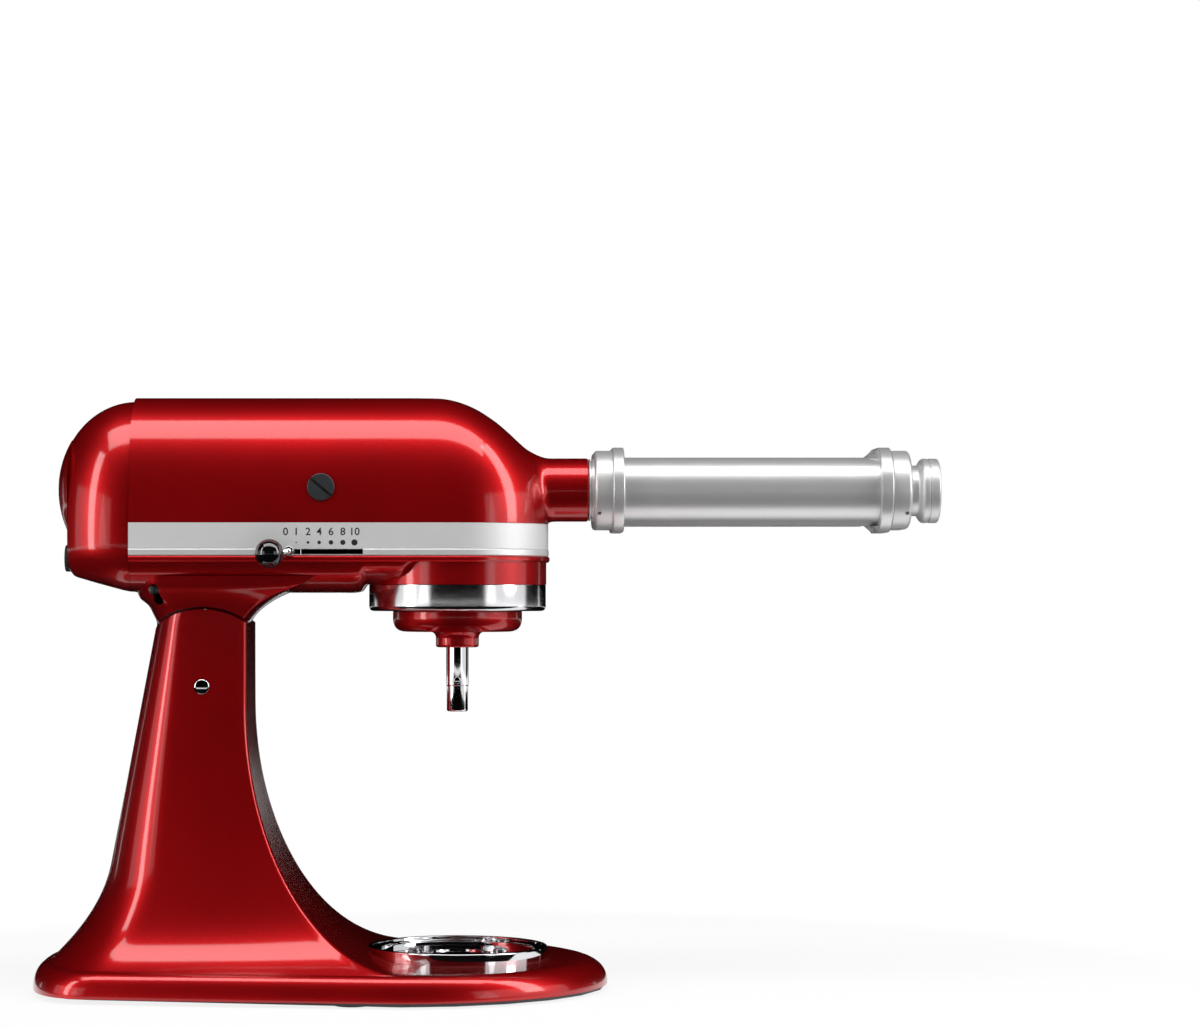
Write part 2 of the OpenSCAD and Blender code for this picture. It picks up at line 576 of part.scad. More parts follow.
// Trim band round both sides and the front, slotted for the speed lever
slot_z = band_z + 2.5;
slot_half_h = 1.75;
slot_x = -101.6;
slot_len = speed_travel + 6.6;
module trim_band() color("gainsboro") difference() {
    union() {
        translate([0, 0, band_z]) linear_extrude(height = band_h - 0.1) difference() {
            head_plan(0);
            head_plan(band_t);
            translate([seam_x - 1, -40]) square([2, 80]);
        }
        for (z = [band_z, band_z + band_h - 1.1]) translate([0, 0, z]) linear_extrude(height = 1)
            difference() { head_plan(-0.35); head_plan(0.2); translate([seam_x - 1, -40]) square([2, 80]); }
    }
    translate([seam_x - 5, -head_half_w + band_t, band_z - 1]) cube([10, 2*(head_half_w - band_t), band_h + 2]);
    speed_slot();
}
module speed_slot() translate([slot_x, -head_half_w - 3, slot_z - slot_half_h])
    cube([slot_len, 12, 2*slot_half_h]);

module drip_ring() color("silver") translate([0, 0, drum_z - drip_h]) rotate_extrude() difference() {
    union() {
        translate([drip_r - 11, 0]) square([8, 2]);
        translate([drip_r - 3, 3]) circle(r = 3, $fn = 48);
        translate([drip_r - 3, 3]) square([3, drip_h - 3 - 0.05]);
        translate([drip_r - 11, drip_h - 2]) square([9, 1.95]);
    }
    translate([drip_r - 3.4, 2]) square([1.4, drip_h - 4]);
}

// ---------------------------------------------------------------- drive inside the head

tooth_m = 1.5;                         // module of every gear in the head
ring_teeth = 44;
planet_teeth = ring_teeth - 2*beater_offset/tooth_m;
gear_z = drum_z - 12;                  // underside of the planet pinion
ring_seat_r = drip_r - 12;

module ring_gear() color("silver") difference() {
    translate([0, 0, gear_z - 1.5]) cylinder(r = ring_seat_r - seat_gap, h = 15.5);
    translate([0, 0, gear_z - 3]) gear(ring_teeth, tooth_m, 11.5, -90, -0.25, 1.2, 0.9);
    translate([0, 0, gear_z]) cylinder(r = 20, h = 40);
}

shaft_r = 7;
planet_bush_r = 11;
planet_bush_z = drum_z + 1;
module planet_bush() color("goldenrod") translate([0, 0, planet_bush_z])
    tube(planet_bush_r - 0.05, shaft_r + run_gap, 12);

centre_teeth = 50;
centre_z = band_z - 1;
bevel_m = 2;
bevel_teeth = 30;
hub_bevel_teeth = 20;
module planet_shaft() color("silver") translate([0, 0, carrier_z + 2])
    cylinder(r = shaft_r, h = centre_z + 19 - carrier_z - 2);

// Teeth that shrink towards the point where the two bevel axes cross. Their tips stay blunt.
bevel_face = 0.22;
bevel_up = 0.62;
bevel_down = 1.15;
function apex_up(teeth, other) = sqrt(teeth*teeth + other*other)/other;
function bevel_len(other) = other*bevel_m/2*bevel_face;
module bevel(teeth, other, first, lash = 0.5) {
    grow = apex_up(teeth, other);
    linear_extrude(height = bevel_len(other), scale = 1 - bevel_face)
        polygon(gear_outline(teeth, bevel_m, first, lash, bevel_up*grow, bevel_down*grow));
}

centre_gear_h = 8;
centre_neck_r = 24;
bevel_z = hub_z - hub_bevel_teeth*bevel_m/2;
bevel_bore_r = 17;
module bored(r, h) difference() {
    children();
    translate([0, 0, -1]) cylinder(r = r, h = h + 2);
}
module centre_gear() color("silver") {
    neck_h = bevel_z - centre_z - centre_gear_h;
    translate([0, 0, centre_z]) bored(shaft_r + 0.01, centre_gear_h)
        gear(centre_teeth, tooth_m, centre_gear_h);
    translate([0, 0, bevel_z - neck_h]) bored(shaft_r + 0.01, neck_h)
        cylinder(r = centre_neck_r, h = neck_h);
    translate([0, 0, bevel_z]) bored(bevel_bore_r, bevel_len(hub_bevel_teeth))
        bevel(bevel_teeth, hub_bevel_teeth, 0);
}

carrier_z = gear_z - 16.2;
carrier_h = 12.6;
beater_low = carrier_z - 9;
module planetary_carrier() color("firebrick") difference() {
    union() {
        translate([0, 0, carrier_z]) rotate_extrude() union() {
            square([carrier_r - 8, carrier_h]);
            translate([0, 8]) square([carrier_r, carrier_h - 8]);
            intersection() {
                translate([carrier_r - 8, 8]) circle(r = 8);
                square([carrier_r, carrier_h]);
            }
        }
        translate([0, -beater_offset, beater_low]) rotate_extrude() union() {
            square([11.25, 12]);
            translate([0, 1.5]) square([12.75, 12]);
            translate([11.25, 1.5]) circle(r = 1.5, $fn = 24);
            difference() {
                translate([0, 5]) square([16.5, 5]);
                translate([16.75, 5]) circle(r = 4, $fn = 48);
            }
        }
    }
    translate([0, 0, carrier_z + 2]) cylinder(r = shaft_r + 0.01, h = 30);
    translate([0, -beater_offset, beater_low - 1]) cylinder(r = beater_r + 0.25 + run_gap, h = 30);
}

// The shaft is a touch thicker inside its carrier than where the beaters fit
beater_end = beater_low - beater_len;
beater_pin_z = beater_low - 19.6;
module beater_shaft() color("silver") translate([0, -beater_offset, 0]) {
    translate([0, 0, beater_end + 2]) cylinder(r = beater_r, h = beater_pin_z - 3.2 - beater_end - 2);
    translate([0, 0, beater_end]) cylinder(r1 = beater_r - 2, r2 = beater_r, h = 2);
    translate([0, 0, beater_pin_z - 3.2]) cylinder(r = beater_r + 0.25, h = gear_z - 0.5 - beater_pin_z + 3.2);
    translate([0, 0, gear_z - 0.6]) cylinder(r = beater_r - 0.36, h = 8.4);
    along_y(0, -beater_r - 3.2, beater_pin_z) cylinder(r = 2, h = 2*beater_r + 6.4);
}
module planet_pinion() color("silver") translate([0, -beater_offset, gear_z]) difference() {
    gear(planet_teeth, tooth_m, 8, -90, 0.25, 0.85, 1.1);
    translate([0, 0, -1]) cylinder(r = beater_r - 0.35, h = 12);
}

// Worm wheel on a short upright shaft, whose pinion turns the centre gear
pinion_teeth = 15;
worm_wheel_back = 42;
wheel_reach = (centre_teeth + pinion_teeth)*tooth_m/2;
worm_wheel_y = sqrt(wheel_reach*wheel_reach - worm_wheel_back*worm_wheel_back);
worm_teeth = 25;
worm_starts = 3;
worm_bush_r = 6.5;
worm_shaft_r = 4;
worm_foot_z = drum_z + 1.8;
pinion_angle = atan2(-worm_wheel_y, worm_wheel_back);
worm_tip = 6.2;
bracket_reach = 21.7;
module worm_wheel() color("goldenrod") translate([-worm_wheel_back, worm_wheel_y, 0]) difference() {
    union() {
        translate([0, 0, centre_z]) gear(pinion_teeth, tooth_m, 8, pinion_angle + pinion_phase, 0.3, 0.9, 1.15);
        translate([0, 0, hub_z - 4]) gear(worm_teeth, tooth_m, 8, -90, 0.6, 0.6, 1.1);
        translate([0, 0, centre_z + 8]) cylinder(r = 8, h = hub_z - 4 - centre_z - 8);
        translate([0, 0, worm_foot_z]) cylinder(r = worm_shaft_r, h = hub_z + 10 - worm_foot_z);
    }
    translate([0, 0, worm_foot_z - 1]) cylinder(r = 1, h = 8);
}
// A space of the pinion faces a tooth of the centre gear
function near_tooth(angle, pitch) = angle - pitch*round(angle/pitch);
centre_face = 180 + pinion_angle;
pinion_phase = 180/pinion_teeth
    + near_tooth(centre_face, 360/centre_teeth)*centre_teeth/pinion_teeth;

module worm_wheel_bushes() color("goldenrod") translate([-worm_wheel_back, worm_wheel_y, 0]) {
    translate([0, 0, worm_foot_z + 1]) tube(worm_bush_r - 0.05, worm_shaft_r + run_gap, 9);
    translate([0, 0, hub_z + 5]) difference() {
        union() {
            tube(worm_bush_r, worm_shaft_r + run_gap, 6);
            translate([-bracket_reach, -5, 2]) cube([bracket_reach - 6, 10, 4]);
        }
        translate([0, 0, -1]) cylinder(r = worm_shaft_r + run_gap, h = 10);
    }
}

// Motor, with its commutator towards the worm
armature_r = 4;
stator_r = head_half_w - 11.5;
core_r = stator_r - 16;
core_x = seam_x + 32;
core_len = 46;
worm_len = 24;
worm_x = -worm_wheel_back - worm_len/2;
bracket_x = worm_x - 14;
bracket_t = 4;
rear_bracket_x = seam_x + 6;
bearing_r = 9;
commutator_x = bracket_x - 21;
commutator_l = 18;
commutator_r = 14;
brush_back = -commutator_x - 9.4;
brush_cap_r = 8;
brush_seat = head_half_w - 8.5;        // bottom of each brush cap's seat
brush_cap_out = head_half_w - brush_seat + 0.6;
brush_slot_lean = 40;
worm_twist = -360*worm_len/(PI*tooth_m*worm_starts);
module armature_shaft() color("silver") {
    along_x(rear_bracket_x - 3, 0, hub_z) cylinder(r = armature_r, h = worm_x - rear_bracket_x + 4);
    along_x(worm_x, 0, hub_z) rotate(90)
    linear_extrude(height = worm_len, twist = worm_twist, slices = 18) union() {
        circle(r = worm_tip - 2.2, $fn = 9);
        for (a = [0:360/worm_starts:359]) rotate(a) polygon([[0, -2.6], [worm_tip - 0.1, -0.9],
            [worm_tip, 0], [worm_tip - 0.1, 0.9], [0, 2.6]]);
    }
}
module armature_core() color("gray") along_x(core_x, 0, hub_z) difference() {
    cylinder(r = core_r, h = core_len);
    for (a = [0:30:330]) rotate(a) {
        translate([core_r - 9, -1.2, -1]) cube([12, 2.4, core_len + 2]);
        translate([core_r - 9, 0, -1]) cylinder(r = 2.6, h = core_len + 2);
    }
    translate([0, 0, -1]) cylinder(r = armature_r + 0.01, h = core_len + 2);
}
module commutator() color("peru") along_x(commutator_x, 0, hub_z) difference() {
    union() {
        cylinder(r = commutator_r, h = commutator_l);
        cylinder(r = commutator_r + 3, h = 3);
    }
    for (a = [0:15:345]) rotate(a) translate([commutator_r - 1.2, -0.3, -1]) cube([6, 0.6, commutator_l + 2]);
    translate([0, 0, -1]) cylinder(r = armature_r + 0.01, h = commutator_l + 2);
}
fan_r = stator_r - 3;
fan_x = seam_x + 14;
module motor_fan() color("dimgray") along_x(fan_x, 0, hub_z) difference() {
    union() {
        cylinder(r = 9, h = 8);
        cylinder(r = fan_r, h = 1.6);
        for (a = [0:30:330]) rotate(a) translate([8, -0.8, 0]) cube([fan_r - 9, 1.6, 8]);
    }
    translate([0, 0, -1]) cylinder(r = armature_r + 0.01, h = 12);
}
module motor_stator() color("gray") {
    along_x(core_x, 0, hub_z) difference() {
        union() {
            cylinder(r = stator_r, h = core_len);
            for (a = [45, 135, 225, 315]) rotate(a) translate([stator_r - 3, -4, 0])
                cube([head_half_w - head_wall - 0.8 - stator_r + 3, 8, core_len]);
        }
        translate([0, 0, -1]) cylinder(r = core_r + 0.6, h = core_len + 2);
        for (s = [0, 180]) rotate(s + 90) translate([0, 0, -1]) difference() {
            intersection() {
                tube(stator_r - 6, core_r + 6, core_len + 2);
                linear_extrude(height = 99) polygon([[0, 0], polar(90, -40), polar(90, 40)]);
            }
        }
    }
    for (s = [-1, 1], e = [core_x - 5, core_x + core_len]) along_x(e, 0, hub_z) intersection() {
        tube(stator_r - 7, core_r + 7, 5);
        translate([s > 0 ? 0 : -60, -26, 0]) cube([60, 52, 5]);
    }
}
module motor_brackets() color("silver") {
    for (x = [bracket_x, rear_bracket_x]) along_x(x, 0, hub_z) difference() {
        union() {
            difference() {
                cylinder(r = head_half_w - head_wall - 2.2, h = bracket_t);
                for (a = [0, 90, 180, 270]) rotate(a) translate([30, 0, -1]) cylinder(r = 10, h = 9);
            }
            translate([0, 0, x == bracket_x ? 0 : -2]) cylinder(r = bearing_r + 3, h = bracket_t + 2);
        }
        translate([0, 0, -3]) cylinder(r = bearing_r, h = 12);
    }
}
module armature_bearings() color("silver") for (x = [bracket_x, rear_bracket_x - 2]) along_x(x, 0, hub_z)
    tube(bearing_r, armature_r + run_gap, bracket_t + 2);

module brush_caps() color("darkslategray") both_sides() along_y(-brush_back, brush_seat, hub_z) difference() {
    union() {
        translate([0, 0, brush_cap_out - 3.4]) cylinder(r = brush_cap_r, h = 2.6);
        translate([0, 0, brush_cap_out - 0.8]) cylinder(r1 = brush_cap_r, r2 = brush_cap_r - 0.8, h = 0.8);
        cylinder(r = 6, h = brush_cap_out - 3);
    }
    rotate(brush_slot_lean) translate([-10, -0.7, brush_cap_out - 1.3]) cube([20, 1.4, 3]);
    translate([0, 0, -1]) cylinder(r = 3.6, h = 4);
}
module carbon_brushes() color("black") both_sides() {
    translate([-brush_back - 3, commutator_r + 0.1, hub_z - 2.6]) cube([6, 20, 5.2]);
    along_y(-brush_back, commutator_r + 20, hub_z) cylinder(r = 2.4, h = brush_seat + 1.9 - commutator_r - 20);
}

// Hub: a sleeve in the casting, the bevel gear with its square socket, and the thumb screw
sleeve_r = 16.4;
socket_r = 11;
socket_x = 44.5;
square_half = 4.75;
sleeve_x = 36;
module hub_sleeve() color("silver") difference() {
    along_x(sleeve_x, 0, hub_z) cylinder(r = sleeve_r - 0.05, h = hub_face - sleeve_x);
    along_x(30, 0, hub_z) cylinder(r = socket_r + run_gap, h = 60);
    along_x(socket_x + 0.5, 0, hub_z) cylinder(r = hub_bore_r, h = 60);
    along_y(screw_x, 0, hub_z) cylinder(r = screw_r + run_gap, h = 40);
}
hub_bevel_x = bevel_teeth*bevel_m/2;
hub_phase = 180/hub_bevel_teeth;
module hub_bevel_gear() color("silver") difference() {
    union() {
        along_x(hub_bevel_x, 0, hub_z) rotate([180, 0, 90 - hub_phase]) bevel(hub_bevel_teeth, bevel_teeth, 0);
        along_x(hub_bevel_x, 0, hub_z) cylinder(r = socket_r, h = socket_x - hub_bevel_x);
    }
    translate([20, -square_half - 0.1, hub_z - square_half - 0.1])
        cube([40, 2*square_half + 0.2, 2*square_half + 0.2]);
}
screw_x = hub_face - 12.4;
screw_r = 4;
thumb_r = 10;
module hub_thumb_screw() color("silver") along_y(screw_x, hub_bore_r + 0.4, hub_z) {
    cylinder(r = screw_r, h = 16);
    translate([0, 0, 12]) difference() {
        union() {
            cylinder(r = thumb_r - 3, h = 3);
            translate([0, 0, 3]) cylinder(r = thumb_r, h = 7);
            translate([0, 0, 10]) cylinder(r1 = thumb_r, r2 = thumb_r - 2, h = 2);
        }
        for (a = [0:30:330]) rotate(a) translate([thumb_r + 1.2, 0, 2.9]) cylinder(r = 2, h = 12, $fn = 24);
    }
}

// ---------------------------------------------------------------- hand controls

speed_x = slot_x + 3.3;                // where the lever stands at speed 0
ball_x = speed_x - 10.6;               // the lever is bent, so the ball stands behind its stem
ball_y = head_half_w + 11;
ball_z = slot_z - 1.5;
elbow_y = head_half_w + 3;
crank_turn = atan2(speed_x - ball_x, ball_y - elbow_y);
crank_drop = atan2(slot_z - ball_z, norm([speed_x - ball_x, ball_y - elbow_y]));
crank_len = norm([speed_x - ball_x, ball_y - elbow_y, slot_z - ball_z]);
module crank() translate([speed_x, -elbow_y, slot_z]) rotate([0, 0, -crank_turn])
    rotate([90 + crank_drop, 0, 0]) children();
module speed_lever() color("silver") {
    along_y(speed_x, -elbow_y, slot_z) cylinder(r = 1.5, h = elbow_y - head_half_w + 7.4);
    translate([speed_x, -elbow_y, slot_z]) sphere(r = 1.9);
    crank() cylinder(r = 1.5, h = crank_len - 2);
    along_y(speed_x, -head_half_w - 2.2, slot_z) cylinder(r = 2.8, h = 1.6);
    translate([speed_x - 7, -head_half_w + 5.2, slot_z - 3]) cube([14, 2, 15]);
}
module speed_knob() color("black") difference() {
    translate([ball_x, -ball_y, ball_z]) sphere(r = speed_ball_r);
    crank() cylinder(r = 1.5, h = crank_len - 2);
}

module lock_bolt() color("silver") {
    latch_frame() along_y(0, -head_half_w + 10.2, 0) cylinder(r = latch_pin_r, h = 2*head_half_w + 3);
    latch_frame() translate([-latch_bolt_w/2, latch_y[0], -latch_bolt_len])
        cube([latch_bolt_w, latch_y[1] - latch_y[0], latch_bolt_len + 3]);
}
module lock_knob() color("black") latch_frame() along_y(0, head_half_w - 3, 0) difference() {
    union() {
        cylinder(r = 5.5, h = 2);
        translate([0, 0, 2]) cylinder(r1 = 4.2, r2 = 6.5, h = 8);
        translate([0, 0, 10]) cylinder(r = 6.5, h = 4);
        translate([0, 0, 14]) cylinder(r1 = 6.5, r2 = 4.5, h = 2);
    }
    translate([0, 0, -1]) cylinder(r = latch_pin_r + 0.01, h = 17);
}

// ---------------------------------------------------------------- roller unit

idler_y = 2*roller_r + gap_min + gap_travel;       // idler axis at the widest setting
unit_span = 2*roller_r + gap_min + gap_travel/2;   // between the round ends of plates and caps
knob_y = unit_span/2;
journal_r = 5;
case_t = 1.5;
cap_wall = 2.6;
cap_face = 3.2;

// Slab with two round ends, one about each roller
module slab(r, x, l) along_x(x, 0, hub_z) linear_extrude(height = l) slab_outline(r);
module slab_outline(r) {
    circle(r = r);
    translate([0, unit_span]) circle(r = r);
    translate([-r, 0]) square([2*r, unit_span]);
}
module unit_bore(r, y, x = 30, l = 300) along_x(x, y, hub_z) cylinder(r = r, h = l);

module unit_shank() color("silver") difference() {
    union() {
        unit_bore(hub_bore_r - run_gap, 0, socket_x + 2, hub_face + 1 - socket_x);
        unit_bore(cap_r - 5, 0, hub_face + 0.3, 1);
        unit_bore(cap_r - 6.2, 0, hub_face + 1.2, 1);
        unit_bore(cap_r - 5, 0, hub_face + 2, left_cap_x - hub_face - 2);
    }
    unit_bore(square_half*1.45 + free_gap, 0);
}

// "outer" is 1 where the closed face points along +X
module end_cap_shell(x, outer) difference() {
    union() {
        slab(cap_r, x + (outer > 0 ? 0 : 2), end_cap_l - 2);
        slab(cap_r - 0.7, x + (outer > 0 ? 0 : 0.9), end_cap_l - 0.9);
        slab(cap_r - 2.2, x, end_cap_l);
    }
    slab(cap_r - cap_wall, x + (outer > 0 ? -1 : cap_face), end_cap_l - cap_face + 1);
}
module left_end_cap() color("silver") difference() {
    end_cap_shell(left_cap_x, -1);
    unit_bore(journal_r + free_gap, 0, left_cap_x - 1, 20);
    cap_screw_holes(left_cap_x);
}
module right_end_cap() color("silver") difference() {
    end_cap_shell(right_cap_x, 1);
    unit_bore(adjuster_r + run_gap, knob_y, right_cap_x, 30);
    for (k = [0:7]) along_x(right_cap_x + end_cap_l - 1.2, knob_y, hub_z) rotate(90 + k*180/7)
        translate([dimple_pitch, 0, 0]) cylinder(r = 1.7, h = 3);
    cap_screw_holes(right_cap_x);
}
dimple_pitch = 11;
cap_screw_angle = 37;
module cap_screw_at(x) translate([x + 2.9, 0, hub_z]) rotate([90 + cap_screw_angle, 0, 0]) children();
module cap_screw_holes(x) cap_screw_at(x + (x == left_cap_x ? 0 : end_cap_l - 5.8))
    translate([0, 0, cap_r - 6]) cylinder(r = 1.5, h = 8);
module cap_screws() color("dimgray") for (x = [left_cap_x, right_cap_x + end_cap_l - 5.8]) cap_screw_at(x)
    translate([0, 0, cap_r - cap_wall - 0.4]) difference() {
        cylinder(r = 1.45, h = cap_wall);
        translate([0, 0, cap_wall - 0.8]) cylinder(r = 0.8, h = 2, $fn = 6);
    }

window_half = 7;
module plate_holes(x) {
    unit_bore(bush_r, 0, x - 1, plate_t + 2);
    translate([x - 1, idler_y - gap_travel - window_half - free_gap, hub_z - window_half - seat_gap])
        cube([plate_t + 2, 2*window_half + gap_travel + 2*free_gap, 2*window_half + 2*seat_gap]);
    for (y = tie_places) unit_bore(tie_r + 0.02, y, x - 1, plate_t + 2);
}
module left_end_plate() color("silver") difference() {
    union() {
        slab(flange_r, left_plate_x + 0.8, plate_t - 1.6);
        slab(flange_r - 0.8, left_plate_x, plate_t);
    }
    plate_holes(left_plate_x);
}
module right_end_plate() color("silver") difference() {
    union() {
        slab(flange_r, right_plate_x + 0.1, plate_t - 0.9);
        slab(flange_r - 0.8, right_plate_x, plate_t);
        difference() {
            fairing();
            front_casing_room();
        }
    }
    plate_holes(right_plate_x);
    slab(casing_r - case_t, right_plate_x - fairing_l - 1, fairing_l + 1);
    throat(right_plate_x - fairing_l - 1, fairing_l + 1);
}

// Cone from the rear casing out to the plate. In front the casing runs on to the plate,
// and the cone stands only over and under it.
module fairing() {
    for (y = [0, unit_span]) along_x(right_plate_x - fairing_l, y, hub_z)
        cylinder(r1 = casing_r, r2 = flange_r - 0.4, h = fairing_l + 0.1);
    translate([right_plate_x, 0, hub_z]) rotate([-90, 0, 0]) linear_extrude(height = unit_span)
        polygon([[-fairing_l, casing_r], [-fairing_l, -casing_r],
            [0, 0.4 - flange_r], [0, flange_r - 0.4]]);
}
module front_casing_room() {
    unit_bore(casing_r + seat_gap, 0, right_plate_x - fairing_l - 1, fairing_l + 1);
    translate([right_plate_x - fairing_l - 1, -flange_r - 1, hub_z - flange_r - 1])
        cube([fairing_l + 1, flange_r + 1 - 4, 2*flange_r + 2]);
    translate([right_plate_x - fairing_l - 1, -4.5, hub_z - casing_r - lip_out - seat_gap])
        cube([fairing_l + 1, throat_edge + 4.5, 10]);
}

throat_edge = 5;                       // how far each casing reaches over its roller's axis
module throat(x, l) translate([x, throat_edge, hub_z - 40])
    cube([l, unit_span - 2*throat_edge, 80]);
case_x = left_plate_x + plate_t;
case_l = right_plate_x - fairing_l - case_x;
lip_out = 2;
module casing_shell(l) linear_extrude(height = l) {
    difference() {
        circle(r = casing_r);
        circle(r = casing_r - case_t);
        translate([-2*casing_r, throat_edge]) square([4*casing_r, 2*casing_r]);
    }
    polygon([[casing_r - 1.3, throat_edge - 8], [casing_r - 1.3, throat_edge],
        [casing_r + lip_out, throat_edge], [casing_r + lip_out, throat_edge - 1.2],
        [casing_r - 0.1, throat_edge - 5.5]]);
}
module front_casing() color("silver") along_x(case_x, 0, hub_z) casing_shell(case_l + fairing_l);
module rear_casing() color("silver") along_x(case_x, unit_span, hub_z) mirror([0, 1, 0]) casing_shell(case_l);

module scrapers() color("silver") for (y = [throat_edge - 1.5, unit_span - throat_edge + 0.1])
    translate([case_x, y, hub_z - casing_r + case_t + 0.8]) cube([case_l + fairing_l, 1.4, 4]);

tie_r = 1.5;
tie_places = [-roller_r - tie_r - 0.9, idler_y + roller_r + tie_r + 0.4];
module tie_rods() color("silver") for (y = tie_places) {
    unit_bore(tie_r, y, left_plate_x - 2.4, right_cap_x + 2 - left_plate_x);
    along_x(left_plate_x - 2.4, y, hub_z) cylinder(r = 2.9, h = 2.3, $fn = 6);
    along_x(right_plate_x + plate_t + 0.1, y, hub_z) cylinder(r = 2.9, h = 2.1, $fn = 6);
}

bush_r = 7.5;
module roller_bushes() color("goldenrod") for (x = [left_plate_x, right_plate_x]) along_x(x, 0, hub_z)
    tube(bush_r - 0.03, journal_r + run_gap, plate_t);

roller_teeth = 16;
roller_gear_m = (2*roller_r + gap_min)/roller_teeth;
roller_gear_x = left_cap_x + cap_face + 0.5;
roller_gear_l = 4.6;
module roller(y, from, to) {
    unit_bore(roller_r - 0.4, y, roller_x, roller_len);
    unit_bore(roller_r, y, roller_x + 0.5, roller_len - 1);
    unit_bore(journal_r, y, from, to - from);
}
module driven_roller() color("silver") {
    roller(0, socket_x, right_plate_x + plate_t);
    translate([socket_x - 12, -square_half, hub_z - square_half]) cube([13, 2*square_half, 2*square_half]);
}
module idler_roller() color("silver") roller(idler_y, roller_gear_x, right_cap_x + yoke_t + 0.4);
module driven_roller_gear() color("silver") along_x(roller_gear_x, 0, hub_z) difference() {
    gear(roller_teeth, roller_gear_m, roller_gear_l, 90, 0.3);
    translate([0, 0, -1]) cylinder(r = journal_r + 0.01, h = 20);
}
module idler_roller_gear() color("silver") along_x(roller_gear_x, idler_y, hub_z) difference() {
    gear(roller_teeth, roller_gear_m, roller_gear_l, 90 + 180/roller_teeth, 0.3);
    translate([0, 0, -1]) cylinder(r = journal_r + 0.01, h = 20);
}

yoke_t = 3;
eccentric_r = 6;
yoke_half = eccentric_r + free_gap + 0.02;
adjuster_r = 4;
module idler_carrier() color("goldenrod") difference() {
    union() {
        translate([left_plate_x + 0.2, idler_y - window_half, hub_z - window_half])
            cube([plate_t - 0.2, 2*window_half, 2*window_half]);
        translate([right_plate_x + 0.2, idler_y - window_half, hub_z - window_half])
            cube([plate_t + 0.3, 2*window_half, 2*window_half]);
        translate([right_cap_x + 0.1, knob_y - eccentric_r - 2.5, hub_z - 11])
            cube([yoke_t, idler_y + window_half - knob_y + eccentric_r + 2.5, 22]);
    }
    unit_bore(journal_r + run_gap, idler_y);
    translate([right_cap_x - 1, knob_y + gap_travel/2 - yoke_half, hub_z - yoke_half - gap_travel/2])
        cube([yoke_t + 3, 2*yoke_half, 2*yoke_half + gap_travel]);
}
module adjuster_shaft() color("silver") {
    unit_bore(eccentric_r, knob_y + gap_travel/2, right_cap_x + 0.1, yoke_t);
    unit_bore(adjuster_r, knob_y, right_cap_x + 1, reach - 5 - right_cap_x);
    unit_bore(adjuster_r + 1.5, knob_y, right_cap_x + yoke_t + 0.1, end_cap_l - cap_face - yoke_t - 0.4);
}

knob_neck_r = 15.3;
module adjust_knob() color("silver") {
    along_x(knob_x, knob_y, hub_z) difference() {
        rotate_extrude() polygon([[0, 0], [knob_neck_r - 0.8, 0], [knob_neck_r, 0.8],
            [knob_neck_r, 6.6], [knob_neck_r + 1, 8], [knob_r - 0.6, 9.2], [knob_r, 10.2],
            [knob_r, knob_l - 1.4], [knob_r - 1.4, knob_l], [knob_r - 5, knob_l],
            [knob_r - 6, knob_l - 0.8], [0, knob_l - 0.8]]);
        translate([0, 0, -1]) cylinder(r = adjuster_r + run_gap, h = knob_l - 2);
    }
    along_x(knob_x - 0.2, knob_y, hub_z) rotate(90) translate([dimple_pitch, 0, 0]) cylinder(r = 1.3, h = 3);
}

// ---------------------------------------------------------------- assembly

at_origin() pedestal();
at_origin() bottom_plate();
at_origin() base_feet();
at_origin() plate_screws();
at_origin() bowl_clamp_ring();
at_origin() bowl_clamp_plate();
at_origin() clamp_screws();
at_origin() hinge_pin();
at_origin() upper_housing();
at_origin() lower_housing();
at_origin() rear_cover();
at_origin() rear_cover_screw();
at_origin() trim_band();
at_origin() drip_ring();
at_origin() ring_gear();
at_origin() hinge_bushes();
at_origin() brush_caps();
at_origin() carbon_brushes();
at_origin() motor_stator();
at_origin() motor_brackets();
at_origin() armature_bearings();
at_origin() planet_bush();
at_origin() worm_wheel_bushes();
at_origin() hub_sleeve();
at_origin() cord_gland();
at_origin() lock_bolt();
at_origin() lock_knob();
at_origin() speed_lever();
at_origin() speed_knob();
at_origin() planet_shaft();
at_origin() centre_gear();
at_origin() planetary_carrier();
at_origin() beater_shaft();
at_origin() planet_pinion();
at_origin() worm_wheel();
at_origin() armature_shaft();
at_origin() armature_core();
at_origin() commutator();
at_origin() motor_fan();
at_origin() hub_bevel_gear();
at_origin() hub_thumb_screw();
at_origin() unit_shank();
at_origin() left_end_cap();
at_origin() left_end_plate();
at_origin() front_casing();
at_origin() rear_casing();
at_origin() right_end_plate();
at_origin() right_end_cap();
at_origin() scrapers();
at_origin() tie_rods();
at_origin() cap_screws();
at_origin() roller_bushes();
at_origin() driven_roller();
at_origin() driven_roller_gear();
at_origin() idler_carrier();
at_origin() idler_roller();
at_origin() idler_roller_gear();
at_origin() adjuster_shaft();
at_origin() adjust_knob();
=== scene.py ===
# %% [markdown]
# # A red stand machine with a pasta roller unit in its power hub
#
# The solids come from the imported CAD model: every one of them is already in its place,
# in metres, with Z up. This lesson gives them the surfaces that they have on the real
# machine: a candy red lacquer over cast metal, chrome, brushed aluminium and black
# moulded plastic. Where the solids are too coarse for a mirror finish, a finer piece
# is made from the same dimensions and takes the solid's place.

# %% The frame
import json
import math

import bpy
from mathutils import Matrix, Vector

